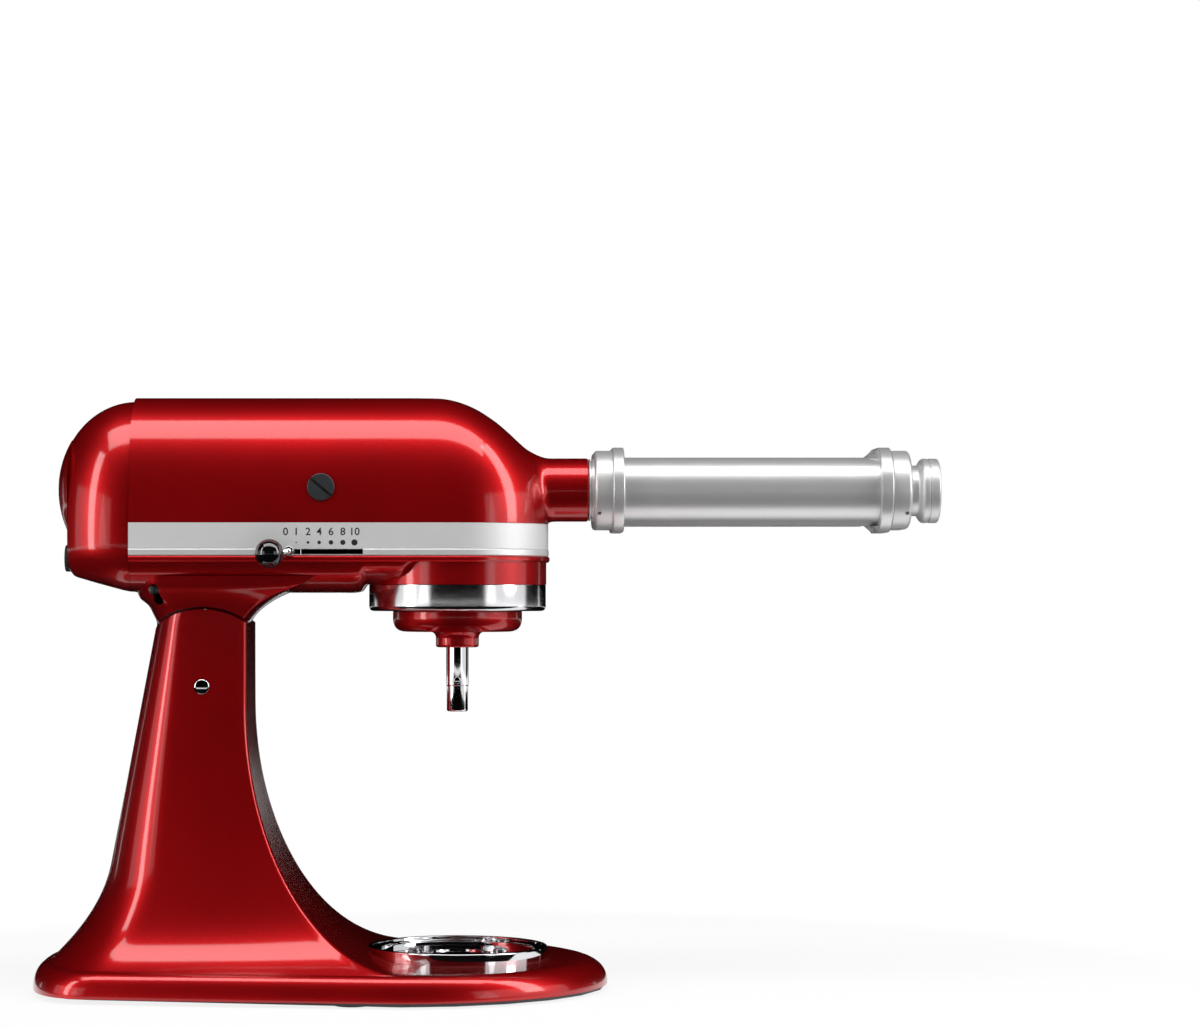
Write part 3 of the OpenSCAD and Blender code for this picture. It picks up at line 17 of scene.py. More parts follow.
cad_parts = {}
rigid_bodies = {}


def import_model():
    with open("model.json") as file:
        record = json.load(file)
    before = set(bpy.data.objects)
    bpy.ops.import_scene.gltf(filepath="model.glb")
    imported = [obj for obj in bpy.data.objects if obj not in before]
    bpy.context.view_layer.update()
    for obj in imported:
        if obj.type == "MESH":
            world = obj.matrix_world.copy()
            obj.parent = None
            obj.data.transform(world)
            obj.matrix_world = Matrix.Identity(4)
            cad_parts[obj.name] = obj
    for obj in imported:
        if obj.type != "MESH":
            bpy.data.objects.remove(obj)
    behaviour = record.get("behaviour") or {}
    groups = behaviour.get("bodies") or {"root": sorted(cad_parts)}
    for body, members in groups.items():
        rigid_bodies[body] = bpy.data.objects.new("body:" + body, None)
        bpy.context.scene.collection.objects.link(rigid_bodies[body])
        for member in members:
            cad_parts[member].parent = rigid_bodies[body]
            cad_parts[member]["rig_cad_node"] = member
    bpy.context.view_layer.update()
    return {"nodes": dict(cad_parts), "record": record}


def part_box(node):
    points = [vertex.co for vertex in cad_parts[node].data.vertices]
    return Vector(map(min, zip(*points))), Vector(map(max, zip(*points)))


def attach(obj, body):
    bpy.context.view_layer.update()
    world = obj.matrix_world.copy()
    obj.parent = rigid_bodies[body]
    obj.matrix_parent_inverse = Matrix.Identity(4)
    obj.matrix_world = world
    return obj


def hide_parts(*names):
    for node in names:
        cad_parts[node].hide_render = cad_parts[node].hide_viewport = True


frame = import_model()
nodes = frame["nodes"]

# %% [markdown]
# All sizes below are real millimetres. Lengths along the machine are measured from the
# axis of the bowl, which is where the drip ring's middle is, so the script finds that
# axis once from the frame and turns every place into metres with one function.

# %% Millimetres from the bowl axis
ring_low, ring_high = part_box("drip_ring")
BOWL_X = (ring_low.x + ring_high.x) / 2


def at(x, y, z):
    """A place in mm from the bowl axis, the middle plane and the table, as metres in the frame."""
    return Vector((BOWL_X + x / 1000, y / 1000, z / 1000))


print("bowl axis at x =", round(BOWL_X * 1000, 2), "mm")

# %% [markdown]
# The camera stands level and square to the machine's side, 1.9 m away, with its axis near
# the middle of the base. A level camera keeps the column upright, so the picture is
# framed by moving the lens sideways and up, as with the shift of a view camera. The
# picture is 1200 by 1028 pixels and shows 1.665 pixels for a millimetre.

# %% Camera
PICTURE_W, PICTURE_H = 1200, 1028
AXIS_PX = (470, 600)
PX_PER_MM = 1.665
CAMERA_FAR = 1900
SENSOR = 36
EYE_Z = 232
EYE_X = 7.5
lens_px = PX_PER_MM * CAMERA_FAR
camera_data = bpy.data.cameras.new("view_camera")
camera_data.sensor_width = SENSOR
camera_data.lens = lens_px / PICTURE_W * SENSOR
camera_data.shift_x = (PICTURE_W / 2 - AXIS_PX[0]) / PICTURE_W
camera_data.shift_y = (AXIS_PX[1] - PICTURE_H / 2) / PICTURE_W
camera = bpy.data.objects.new("view_camera", camera_data)
bpy.context.scene.collection.objects.link(camera)
camera.location = at(EYE_X, -CAMERA_FAR, EYE_Z)
camera.rotation_euler = (math.radians(90), 0, 0)
bpy.context.scene.camera = camera
bpy.context.scene.view_settings.view_transform = "Standard"
print("lens", round(camera_data.lens, 1), "mm")

# %% [markdown]
# Everything that is dressed here uses a handful of small tools. One turns a written sRGB
# colour into the linear numbers that Blender's shaders want. One adds a node to a
# material, sets it and links its inputs, so that a material reads like a recipe.

# %% Colours and nodes


def linear(code):
    """An sRGB hex colour such as "#8a0008" as linear red, green, blue and alpha."""
    parts = [int(code[i : i + 2], 16) / 255 for i in (1, 3, 5)]
    return [c / 12.92 if c <= 0.04045 else ((c + 0.055) / 1.055) ** 2.4 for c in parts] + [1.0]


def add(tree, kind, settings=None, **inputs):
    """Adds one node. "settings" are its own properties; an input is a number, a colour or a socket."""
    node = tree.nodes.new(kind)
    for key, value in (settings or {}).items():
        setattr(node, key, value)
    for key, value in inputs.items():
        name = key.replace("_", " ")
        socket = node.inputs[int(name[1:])] if name[1:].isdigit() else node.inputs[name]
        if isinstance(value, bpy.types.NodeSocket):
            tree.links.new(value, socket)
        else:
            socket.default_value = value
    return node


def new_material(name, **constants):
    """A material whose Principled shader has these plain values on its own sockets."""
    material = bpy.data.materials.new(name)
    material.use_nodes = True
    tree = material.node_tree
    tree.nodes.clear()
    shader = add(tree, "ShaderNodeBsdfPrincipled", **constants)
    add(tree, "ShaderNodeOutputMaterial", Surface=shader.outputs["BSDF"])
    place = add(tree, "ShaderNodeTexCoord").outputs["Object"]
    return material, tree, shader, place


def pattern_scale(size_mm):
    """A noise scale whose spots are about size_mm across, on coordinates in metres."""
    return 1000 / size_mm


def ramp_stops(node, stops):
    """Sets a colour ramp from a list of (place, sRGB hex)."""
    elements = node.color_ramp.elements
    while len(elements) < len(stops):
        elements.new(0.5)
    for element, (place, code) in zip(elements, stops):
        element.position = place
        element.color = linear(code)
    return node

# %% [markdown]
# Glossy lacquer and chrome show the studio more than they show themselves, so the
# studio is made first. It is what a product studio has: a white floor, a wide soft box
# overhead for the long highlight along the head, a tall soft box at each side, and dark
# cloth behind the camera, which gives the lacquer its depth and the chrome its black
# bands. The background is white only for the camera and for reflections. It throws no
# light on the machine, so the colours render about as they are written.

# %% Floor and background
FLOOR_HALF = 30.0


def only_seen(tree, seen, unseen, reflections=True):
    """Uses one shader where the camera looks, or a reflection does, and another for light."""
    rays = add(tree, "ShaderNodeLightPath")
    mask = rays.outputs["Is Camera Ray"]
    if reflections:
        for kind in ("Is Glossy Ray", "Is Transmission Ray"):
            mask = add(tree, "ShaderNodeMath", {"operation": "MAXIMUM"},
                       _0=mask, _1=rays.outputs[kind]).outputs[0]
    return add(tree, "ShaderNodeMixShader", Fac=mask, _1=unseen, _2=seen).outputs[0]


def studio_world():
    world = bpy.data.worlds.new("white_studio")
    world.use_nodes = True
    tree = world.node_tree
    tree.nodes.clear()
    fill = add(tree, "ShaderNodeBackground", Color=linear("#ffffff"), Strength=0.22)
    white = add(tree, "ShaderNodeBackground", Color=linear("#ffffff"), Strength=1.0)
    mixed = only_seen(tree, white.outputs[0], fill.outputs[0])
    add(tree, "ShaderNodeOutputWorld", Surface=mixed)
    bpy.context.scene.world = world


def studio_floor():
    bpy.ops.mesh.primitive_plane_add(size=2 * FLOOR_HALF, location=(0, 0, 0))
    floor = bpy.context.object
    floor.name = "studio_floor"
    material, tree, shader, place = new_material("white_paper", Roughness=0.9)
    shader.inputs["Base Color"].default_value = linear("#f7f7f6")
    glow = add(tree, "ShaderNodeEmission", Color=linear("#ffffff"), Strength=1.0)
    # The paper is white where it is far from the machine, and keeps the shadow beneath it
    away = add(tree, "ShaderNodeVectorMath", {"operation": "LENGTH"}, Vector=place)
    fade = add(tree, "ShaderNodeMapRange", {"interpolation_type": "SMOOTHSTEP"},
               Value=away.outputs["Value"], From_Min=0.22, From_Max=0.50)
    whiter = add(tree, "ShaderNodeMath", {"operation": "MAXIMUM"}, _0=fade.outputs[0], _1=0.85)
    paper = add(tree, "ShaderNodeMixShader", Fac=whiter.outputs[0], _1=shader.outputs[0],
                _2=glow.outputs[0])
    output = next(n for n in tree.nodes if n.type == "OUTPUT_MATERIAL")
    tree.links.new(only_seen(tree, paper.outputs[0], shader.outputs[0]), output.inputs["Surface"])
    floor.data.materials.append(material)


bpy.ops.object.select_all(action="DESELECT")
studio_world()
studio_floor()
print("floor", 2 * FLOOR_HALF, "m wide")

# %% Soft boxes and dark cloths
HEAD_MIDDLE = at(-60, 0, 260)


def facing(place, target):
    return (target - place).to_track_quat("-Z", "Y").to_euler()


def soft_box(name, place, target, width, depth, radiance):
    """An area lamp whose face shines with this radiance, where 1 is white."""
    data = bpy.data.lights.new(name, "AREA")
    data.shape = "RECTANGLE"
    data.size, data.size_y = width, depth
    data.energy = radiance * math.pi * width * depth
    lamp = bpy.data.objects.new(name, data)
    bpy.context.scene.collection.objects.link(lamp)
    lamp.location = place
    lamp.rotation_euler = facing(place, target)
    lamp.visible_camera = False
    return lamp


def dark_cloth(name, place, target, width, height):
    """Black cloth that shows only in reflections, with no lamp of its own."""
    bpy.ops.mesh.primitive_plane_add(size=1)
    cloth = bpy.context.object
    cloth.name = name
    cloth.scale = (width, height, 1)
    cloth.rotation_euler = facing(place, target)
    cloth.location = place
    material, tree, shader, _ = new_material(name, Roughness=1.0)
    shader.inputs["Base Color"].default_value = linear("#0a0a0b")
    shader.inputs["Specular IOR Level"].default_value = 0.0
    cloth.data.materials.append(material)
    for ray in ("camera", "diffuse", "transmission", "shadow"):
        setattr(cloth, "visible_" + ray, False)


soft_box("overhead_box", at(-40, -420, 1450), at(-40, 0, 300), 1.9, 0.6, 4.4)
soft_box("left_box", at(-1500, -760, 700), HEAD_MIDDLE, 0.3, 1.5, 6.0)
soft_box("right_box", at(1640, -520, 1150), HEAD_MIDDLE, 0.5, 1.8, 6.0)
soft_box("left_card", at(-1650, -800, 330), HEAD_MIDDLE, 2.0, 0.9, 0.8)
soft_box("right_card", at(1650, -700, 330), HEAD_MIDDLE, 2.2, 0.9, 0.85)
dark_cloth("cloth_behind_camera", at(0, -3200, 1900), HEAD_MIDDLE, 6.5, 6.5)
dark_cloth("cloth_behind_machine", at(0, 2800, 2000), HEAD_MIDDLE, 8.0, 6.0)
dark_cloth("cloth_left", at(-3000, 0, 1500), HEAD_MIDDLE, 6.0, 5.0)
dark_cloth("cloth_right", at(3000, 0, 1500), HEAD_MIDDLE, 6.0, 5.0)
dark_cloth("cloth_above", at(0, 0, 3600), HEAD_MIDDLE, 8.0, 8.0)
dark_cloth("cloth_on_floor_front", at(0, -1560, 2), at(0, -1560, 500), 5.0, 2.86)
dark_cloth("cloth_on_floor_rear", at(0, 1560, 2), at(0, 1560, 500), 5.0, 2.86)
dark_cloth("cloth_on_floor_left", at(-1400, 0, 2), at(-1400, 0, 500), 2.2, 0.26)

# %% [markdown]
# The castings are finished in a candy lacquer: a bright metallic coat that is powdered
# and baked on, with a clear red coat over it. The metal in the base gives the wide soft
# glow, the clear coat gives the hard mirror highlights on top of it, and the two together
# make the red look deep. Fine flakes and the faint "orange peel" of a baked finish are
# bumps of a tenth of a millimetre and of a few millimetres.

# %% Red lacquer
finishes = {}
FLAKE_MM = 0.5
PEEL_MM = 4.0


def red_lacquer():
    material, tree, shader, place = new_material(
        "candy_lacquer_baked_on_cast_metal",
        Metallic=0.8, Roughness=0.4, Coat_Weight=1.0, Coat_Roughness=0.1, Coat_IOR=1.52)
    clouds = add(tree, "ShaderNodeTexNoise", Vector=place, Scale=pattern_scale(60), Detail=2.0)
    reds = ramp_stops(add(tree, "ShaderNodeValToRGB", Fac=clouds.outputs["Fac"]),
                      [(0.3, "#b00007"), (0.7, "#bd0009")])
    flakes = add(tree, "ShaderNodeTexVoronoi", Vector=place, Scale=pattern_scale(FLAKE_MM))
    tint = add(tree, "ShaderNodeMix", {"data_type": "RGBA", "blend_type": "OVERLAY"},
               _0=0.10, _6=reds.outputs["Color"], _7=flakes.outputs["Color"])
    tree.links.new(tint.outputs[2], shader.inputs["Base Color"])
    base_bump = add(tree, "ShaderNodeBump", Height=flakes.outputs["Distance"],
                    Strength=0.07, Distance=0.00005)
    tree.links.new(base_bump.outputs[0], shader.inputs["Normal"])
    peel = add(tree, "ShaderNodeTexNoise", Vector=place, Scale=pattern_scale(PEEL_MM), Detail=1.0)
    peel_bump = add(tree, "ShaderNodeBump", Height=peel.outputs["Fac"], Strength=0.10,
                    Distance=0.00004)
    tree.links.new(peel_bump.outputs[0], shader.inputs["Coat Normal"])
    return material


finishes["red_lacquer"] = red_lacquer()
print("made", finishes["red_lacquer"].name)

# %% [markdown]
# Every metal here is one of three kinds of surface. A brushed one has fine scratches
# that all run one way, so its noise is stretched along that way. A turned one was cut
# on a lathe, so its scratches run round an axis and change only along it. A polished
# one is a mirror whose only detail is a faint haze from handling. One function makes all
# three, because only the way the noise is stretched is different. The brushed and satin
# ones are a little less than fully metallic. That isn't physical: it was matched to the
# photograph, where their fine scratches scatter light and make them pale and even.

# %% Metals
GRAIN_MM = 0.25
LONG = 0.012


def metal(name, colour, rough, spread, grain=(1, 1, 1), size_mm=GRAIN_MM, bump=0.15, metallic=1.0):
    """A bare metal. "grain" is how fast its scratches change along X, Y and Z."""
    material, tree, shader, place = new_material(name, Metallic=metallic)
    shader.inputs["Base Color"].default_value = linear(colour)
    ways = add(tree, "ShaderNodeMapping", Vector=place, Scale=grain)
    scratches = add(tree, "ShaderNodeTexNoise", Vector=ways.outputs[0],
                    Scale=pattern_scale(size_mm), Detail=3.0)
    haze = add(tree, "ShaderNodeTexNoise", Vector=place, Scale=pattern_scale(14), Detail=2.0)
    both = add(tree, "ShaderNodeMath", {"operation": "MULTIPLY_ADD"},
               _0=haze.outputs["Fac"], _1=0.4, _2=scratches.outputs["Fac"])
    roughness = add(tree, "ShaderNodeMapRange", Value=both.outputs[0], From_Min=0.3, From_Max=1.1,
                    To_Min=max(0.0, rough - spread), To_Max=rough + spread)
    tree.links.new(roughness.outputs[0], shader.inputs["Roughness"])
    ridges = add(tree, "ShaderNodeBump", Height=scratches.outputs["Fac"], Strength=bump,
                 Distance=0.00002)
    tree.links.new(ridges.outputs[0], shader.inputs["Normal"])
    return material


ALONG_X = (LONG, 1, 1)
ROUND_X = (1, LONG, LONG)
ROUND_Z = (LONG, LONG, 1)
finishes["brushed_band"] = metal("aluminium_strip_brushed_along", "#ececec", 0.55, 0.06, ALONG_X,
                                 bump=0.35, metallic=0.6)
finishes["buffed_chrome"] = metal("buffed_chrome_plate", "#e6e6e8", 0.15, 0.04, ROUND_Z, bump=0.05)
finishes["polished_chrome"] = metal("polished_chrome_plate", "#e6e6e8", 0.045, 0.02, bump=0.0)
finishes["satin_aluminium"] = metal("turned_aluminium_satin", "#e4e4e4", 0.42, 0.06, ROUND_X,
                                    bump=0.25, metallic=0.72)
finishes["brushed_steel"] = metal("stainless_steel_brushed_along", "#e6e6e7", 0.36, 0.05, ALONG_X,
                                  bump=0.2, metallic=0.72)
finishes["machined_steel"] = metal("turned_steel_with_oil_film", "#a9abae", 0.26, 0.08, ROUND_Z,
                                   bump=0.25)
finishes["bearing_bronze"] = metal("sintered_bronze", "#b08a50", 0.42, 0.08, size_mm=0.3, bump=0.5)
finishes["copper_bars"] = metal("drawn_copper", "#c17a4e", 0.3, 0.06, ROUND_X)
finishes["cast_zinc"] = metal("die_cast_zinc", "#8d9094", 0.5, 0.08, size_mm=0.8, bump=0.6)
print("metals:", len(finishes) - 1)

# %% [markdown]
# The dark parts are mouldings and painted sheet. A gloss moulding is as smooth as the
# mould that it came from, and a matt one has the mould's spark-eroded grain, about a
# third of a millimetre across. Rubber has a coarser grain and a dusty, rough surface.
# The laminations are thin steel sheets, so they are ruled across the stack.

# %% Plastics, rubber and painted sheet


def moulding(name, colour, worn, rough, size_mm, bump, ior=1.5, coat=0.0):
    """A moulded or painted surface with a grain, a little paler where the grain stands up."""
    material, tree, shader, place = new_material(name, IOR=ior, Coat_Weight=coat)
    grain = add(tree, "ShaderNodeTexNoise", Vector=place, Scale=pattern_scale(size_mm), Detail=2.0)
    colours = ramp_stops(add(tree, "ShaderNodeValToRGB", Fac=grain.outputs["Fac"]),
                         [(0.35, colour), (0.75, worn)])
    tree.links.new(colours.outputs["Color"], shader.inputs["Base Color"])
    roughness = add(tree, "ShaderNodeMapRange", Value=grain.outputs["Fac"], To_Min=rough * 0.85,
                    To_Max=rough * 1.15)
    tree.links.new(roughness.outputs[0], shader.inputs["Roughness"])
    relief = add(tree, "ShaderNodeBump", Height=grain.outputs["Fac"], Strength=bump,
                 Distance=0.00006)
    tree.links.new(relief.outputs[0], shader.inputs["Normal"])
    return material


def laminations(sheet_mm=0.5):
    material, tree, shader, place = new_material("varnished_steel_laminations", Metallic=0.6,
                                                 Roughness=0.4)
    sheets = add(tree, "ShaderNodeTexWave", {"wave_type": "BANDS", "bands_direction": "X"},
                 Vector=place, Scale=1000 / sheet_mm / 20, Distortion=0.0)
    colours = ramp_stops(add(tree, "ShaderNodeValToRGB", Fac=sheets.outputs["Fac"]),
                         [(0.2, "#2a2b2e"), (0.6, "#55585c")])
    tree.links.new(colours.outputs["Color"], shader.inputs["Base Color"])
    relief = add(tree, "ShaderNodeBump", Height=sheets.outputs["Fac"], Strength=0.3,
                 Distance=0.0001)
    tree.links.new(relief.outputs[0], shader.inputs["Normal"])
    return material


finishes["black_knob"] = moulding("polished_phenolic_ball", "#070708", "#0a0a0b", 0.06, 8.0, 0.0,
                                  1.55, 0.6)
finishes["dark_phenolic"] = moulding("moulded_phenolic", "#26282b", "#303235", 0.38, 0.4, 0.25)
finishes["grey_nylon"] = moulding("moulded_grey_nylon", "#55565a", "#606165", 0.5, 0.4, 0.3, 1.53)
finishes["foot_rubber"] = moulding("moulded_nitrile_rubber", "#1c1c1d", "#2a2a2a", 0.8, 0.7, 0.6,
                                   1.52)
finishes["base_plate_steel"] = moulding("grey_painted_sheet_steel", "#3a3b3d", "#444547", 0.45,
                                        1.2, 0.4)
finishes["laminations"] = laminations()
print("all finishes:", sorted(finishes))

# %% [markdown]
# The solids that are already fine enough only need their material. Each one names, in
# the model's record, the finish that the maker gives it, so one loop dresses them all.
# Pieces that are made later take the same finishes from the same table.

# %% Dress the CAD nodes


def wear(piece, finish):
    """Gives a piece one finish all over."""
    piece.data.materials.clear()
    piece.data.materials.append(finishes[finish])


finish_of = {part["node"]: part["material_slot"] for part in frame["record"]["subparts"]}
for name, node in nodes.items():
    wear(node, finish_of[name])
print(len(nodes), "nodes dressed")

# %% [markdown]
# Now the tools for new shapes. Objects are made in the usual way, from a primitive that
# is edited, and when a piece is done its place and size are put into its mesh. Boolean
# cuts use another object as the knife, which is then deleted.

# %% Tools for pieces


def only(*pieces):
    """Selects these objects and nothing else, and makes the first one active."""
    bpy.ops.object.select_all(action="DESELECT")
    for piece in pieces:
        piece.select_set(True)
    bpy.context.view_layer.objects.active = pieces[0]


def settle(piece):
    """Puts the object's place, turn and scale into its mesh."""
    only(piece)
    bpy.ops.object.transform_apply(location=True, rotation=True, scale=True)
    return piece


def apply_modifier(piece, kind, **settings):
    only(piece)
    modifier = piece.modifiers.new(kind.lower(), kind)
    for key, value in settings.items():
        setattr(modifier, key, value)
    bpy.ops.object.modifier_apply(modifier=modifier.name)


def cut(piece, *knives, operation="DIFFERENCE"):
    for knife in knives:
        apply_modifier(piece, "BOOLEAN", operation=operation, object=knife, solver="EXACT")
        bpy.data.objects.remove(knife)
    return piece


def tidy_mesh(piece, angle=35):
    """Merges doubles, points every face outwards and smooths all but the sharp edges."""
    only(piece)
    bpy.ops.object.mode_set(mode="EDIT")
    bpy.ops.mesh.select_all(action="SELECT")
    bpy.ops.mesh.remove_doubles(threshold=0.000005)
    bpy.ops.mesh.normals_make_consistent(inside=False)
    bpy.ops.object.mode_set(mode="OBJECT")
    bpy.ops.object.shade_smooth_by_angle(angle=math.radians(angle))
    return piece


def finish_piece(piece, body, finish, *replaced):
    """The last step for a piece: its finish, the body it rides on and the solids it stands for."""
    settle(piece)
    wear(piece, finish)
    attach(piece, body)
    if replaced:
        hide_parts(*replaced)
    print(piece.name, len(piece.data.polygons), "faces")
    return piece

# %% [markdown]
# ## The stand
#
# The stand is one hollow casting: a low base shaped like a keel, and a column that
# flares into it on every side. A shape like this is a stack of sections, each drawn by
# the same few curves, with a skin stretched over them. The curves are the ones that the
# solid was made from, but the sections lie much closer here, because a mirror finish
# shows every flat. Each front corner gets a small radius, as a casting has.

# %% Skins over sections


def skin(name, sections):
    """A closed skin over sections that all have the same number of points, given in mm."""
    count = len(sections[0])
    points = [at(*p) for ring in sections for p in ring]
    faces = []
    for level in range(len(sections) - 1):
        low = level * count
        for i in range(count):
            j = (i + 1) % count
            faces.append((low + i, low + j, low + count + j, low + count + i))
    last = (len(sections) - 1) * count
    faces.append(tuple(range(count - 1, -1, -1)))
    faces.append(tuple(range(last, last + count)))
    mesh = bpy.data.meshes.new(name)
    mesh.from_pydata(points, [], faces)
    piece = bpy.data.objects.new(name, mesh)
    bpy.context.scene.collection.objects.link(piece)
    return tidy_mesh(piece)


def steps(first, last, count):
    return [first + (last - first) * i / count for i in range(count + 1)]


def curve(points, x):
    """Height at x of a smooth curve through a few points."""
    def slope(i):
        a, b = points[max(i - 1, 0)], points[min(i + 1, len(points) - 1)]
        return (b[1] - a[1]) / (b[0] - a[0])
    i = max([k for k in range(len(points) - 1) if points[k][0] <= x] or [0])
    (x0, z0), (x1, z1) = points[i], points[i + 1]
    d = x1 - x0
    t = (x - x0) / d
    return ((2 * t**3 - 3 * t**2 + 1) * z0 + (t**3 - 2 * t**2 + t) * slope(i) * d
            + (3 * t**2 - 2 * t**3) * z1 + (t**3 - t**2) * slope(i + 1) * d)


# %% Sections of the stand
BASE_W, TOE, HEEL, PLATEAU_Z = 220, 90, 252, 18
COLUMN_BACK, COLUMN_W, HINGE_BACK, HINGE_Z = 124, 82, 150, 181
COLUMN_TOP = HINGE_Z + 37
FLARE_Z, FLARE_LEN = 170, 95
RIM_Z, SHOULDER_Z = 3.2, 4.5
BASE_MID = -31.6
SIDE_ROUND, TOE_ROUND = 8, 16
CORNER_R = 2.2


def down(z):
    return max(0, min(1, (COLUMN_TOP - z) / (COLUMN_TOP - PLATEAU_Z)))


def front_x(z):
    if z >= FLARE_Z:
        return -COLUMN_BACK
    part = (FLARE_Z - z) / (FLARE_Z - PLATEAU_Z)
    return -COLUMN_BACK + FLARE_LEN * (1 - math.sqrt(max(0, 1 - part**2)))


def rear_x(z):
    return -(HEEL - 72) - 0.19 * (COLUMN_TOP - z) - 24 * (max(0, 75 - z) / 56) ** 2


def spread(z):
    """How far the column has flared at this height, from 0 at its top to 1 at its foot."""
    return 0.7 * down(z) ** 2.3 + 0.3 * down(z) ** 16


def widths(z):
    """Half widths of the column at its front corner, at the hinge and at its rear."""
    front = COLUMN_W / 2 + (BASE_W / 2 - SIDE_ROUND - COLUMN_W / 2) * spread(z)
    side = COLUMN_W / 2 + 1.5 + (BASE_W / 2 - SIDE_ROUND - COLUMN_W / 2 - 14) * spread(z)
    rear = COLUMN_W / 2 - 2 + (BASE_W / 2 - SIDE_ROUND - COLUMN_W / 2 - 27) * spread(z)
    return front, side, rear


def width_at(x, xf, wf, ws, xr, wr):
    xs = -HINGE_BACK
    return (wf * (x - xs) * (x - xr) / ((xf - xs) * (xf - xr))
            + ws * (x - xf) * (x - xr) / ((xs - xf) * (xs - xr))
            + wr * (x - xf) * (x - xs) / ((xr - xf) * (xr - xs)))


def flank(xf, wf, ws, xr, wr, radius, n, start=0.0):
    """One side of a section, from its front corner to the middle of its rounded rear."""
    xm = xr + radius
    side = [xf - start + (xm - xf + start) * u for u in steps(0, 1, 24)[1:]]
    points = [(x, width_at(x, xf, wf, ws, xr, wr)) for x in side]
    for a in steps(0, 90, 22)[1:-1]:
        x = xm - radius * math.sin(math.radians(a)) ** (2 / n)
        points.append((x, width_at(x, xf, wf, ws, xr, wr) * math.cos(math.radians(a)) ** (2 / n)))
    return points


def section(z, front, side, xr):
    """Front edge from right to left, one flank back to the rear, and the other flank forward again."""
    left = [(x, y, z) for x, y in side]
    right = [(x, -y, z) for x, y in reversed(side)]
    return [(x, y, z) for x, y in front] + left + [(xr, 0, z)] + right


def column_section(z, inset=0, widest=200, at_z=None):
    h = z if at_z is None else at_z
    wf, ws, wr = [min(w - inset, widest) for w in widths(h)]
    xf, xr = front_x(h) - inset, rear_x(h) + inset
    r = CORNER_R if not inset else 0.5
    corner = [(xf - r + r * math.cos(a), wf - r + r * math.sin(a)) for a in steps(0, math.pi / 2,
                                                                                  6)]
    flat = [(xf, (wf - r) * u) for u in steps(-1, 1, 40)[1:-1]]
    front = [(x, -y) for x, y in reversed(corner)] + flat + corner
    return section(z, front, flank(xf, wf, ws, xr, wr, 18 + 22 * down(h), 2.3, start=r), xr)


def base_section(z, inset=0, at_z=None):
    h = z if at_z is None else at_z
    lift = max(0, h - SHOULDER_Z) / (PLATEAU_Z - SHOULDER_Z)
    over = 1 - math.sqrt(max(0, 1 - lift**2))
    wf = BASE_W / 2 - SIDE_ROUND * over - inset
    ws = BASE_W / 2 - 12.2 - SIDE_ROUND * over - inset
    wr = BASE_W / 2 - 28.6 - SIDE_ROUND * over - inset
    xr = -HEEL + 9 * over + inset
    reach = TOE - BASE_MID - inset - TOE_ROUND * over
    front = [(BASE_MID + reach * math.cos(a), wf * math.sin(a)) for a in steps(-math.pi / 2,
                                                                               math.pi / 2, 52)]
    return section(z, front, flank(BASE_MID, wf, ws, xr, wr, 40, 2.6), xr)


print("column front at the base:", round(front_x(PLATEAU_Z), 1), "mm")

# %% [markdown]
# The outer skin is stretched first. Where the base turns over into its flat top, and
# where that flat meets the column, two sections lie almost on each other: they hold the
# shading, so that the flat stays flat. Then knives cut the hollow, the round joint that
# the neck turns in, the slot between the two ears, the bore of the hinge pin and the
# shallow seat of the bowl clamp.

# %% Knives


def between(a, b, u):
    return [tuple(p + (q - p) * u for p, q in zip(m, n)) for m, n in zip(a, b)]


def rod(name, axis, place, radius, length, vertices=96):
    """A cylinder whose near end is at "place" and which runs along X, Y or Z, in mm."""
    ways = {"X": (Vector((1, 0, 0)), (0, math.radians(90), 0)),
            "Y": (Vector((0, 1, 0)), (math.radians(-90), 0, 0)),
            "Z": (Vector((0, 0, 1)), (0, 0, 0))}
    way, turn = ways[axis]
    bpy.ops.mesh.primitive_cylinder_add(
        vertices=vertices, radius=radius / 1000, depth=length / 1000,
        location=at(*place) + way * length / 2000, rotation=turn)
    piece = bpy.context.object
    piece.name = name
    return settle(piece)


def block(name, low, high, turn=0.0, about=(0, 0, 0)):
    """A box between two corners in mm, which may be turned about Y through a point."""
    bpy.ops.mesh.primitive_cube_add(size=1)
    piece = bpy.context.object
    piece.name = name
    size = [(h - l) / 1000 for l, h in zip(low, high)]
    middle = Vector([(l + h) / 2000 for l, h in zip(low, high)])
    spin = Matrix.Rotation(math.radians(turn), 4, "Y")
    piece.matrix_world = Matrix.Translation(at(*about)) @ spin @ Matrix.Translation(middle) @ Matrix.Diagonal((*size, 1))
    return settle(piece)


def prism(name, outline, half):
    """A plate across the machine, from its side view in mm."""
    return skin(name, [[(x, y, z) for x, z in outline] for y in (-half, half)])


# %% The stand's casting
STAND_WALL = 4
COLUMN_TOP_R = 45.5
FORK_HALF = 26.5
PIN_R = 4.75
CLAMP_R = 53.75
LATCH_X, LATCH_Z, LATCH_LEAN = -178, 238, 28
LUG_ANGLES, TILT = (63, 79), 45


def about_hinge(radius, degrees):
    a = math.radians(degrees)
    return (-HINGE_BACK + radius * math.cos(a), HINGE_Z + radius * math.sin(a))


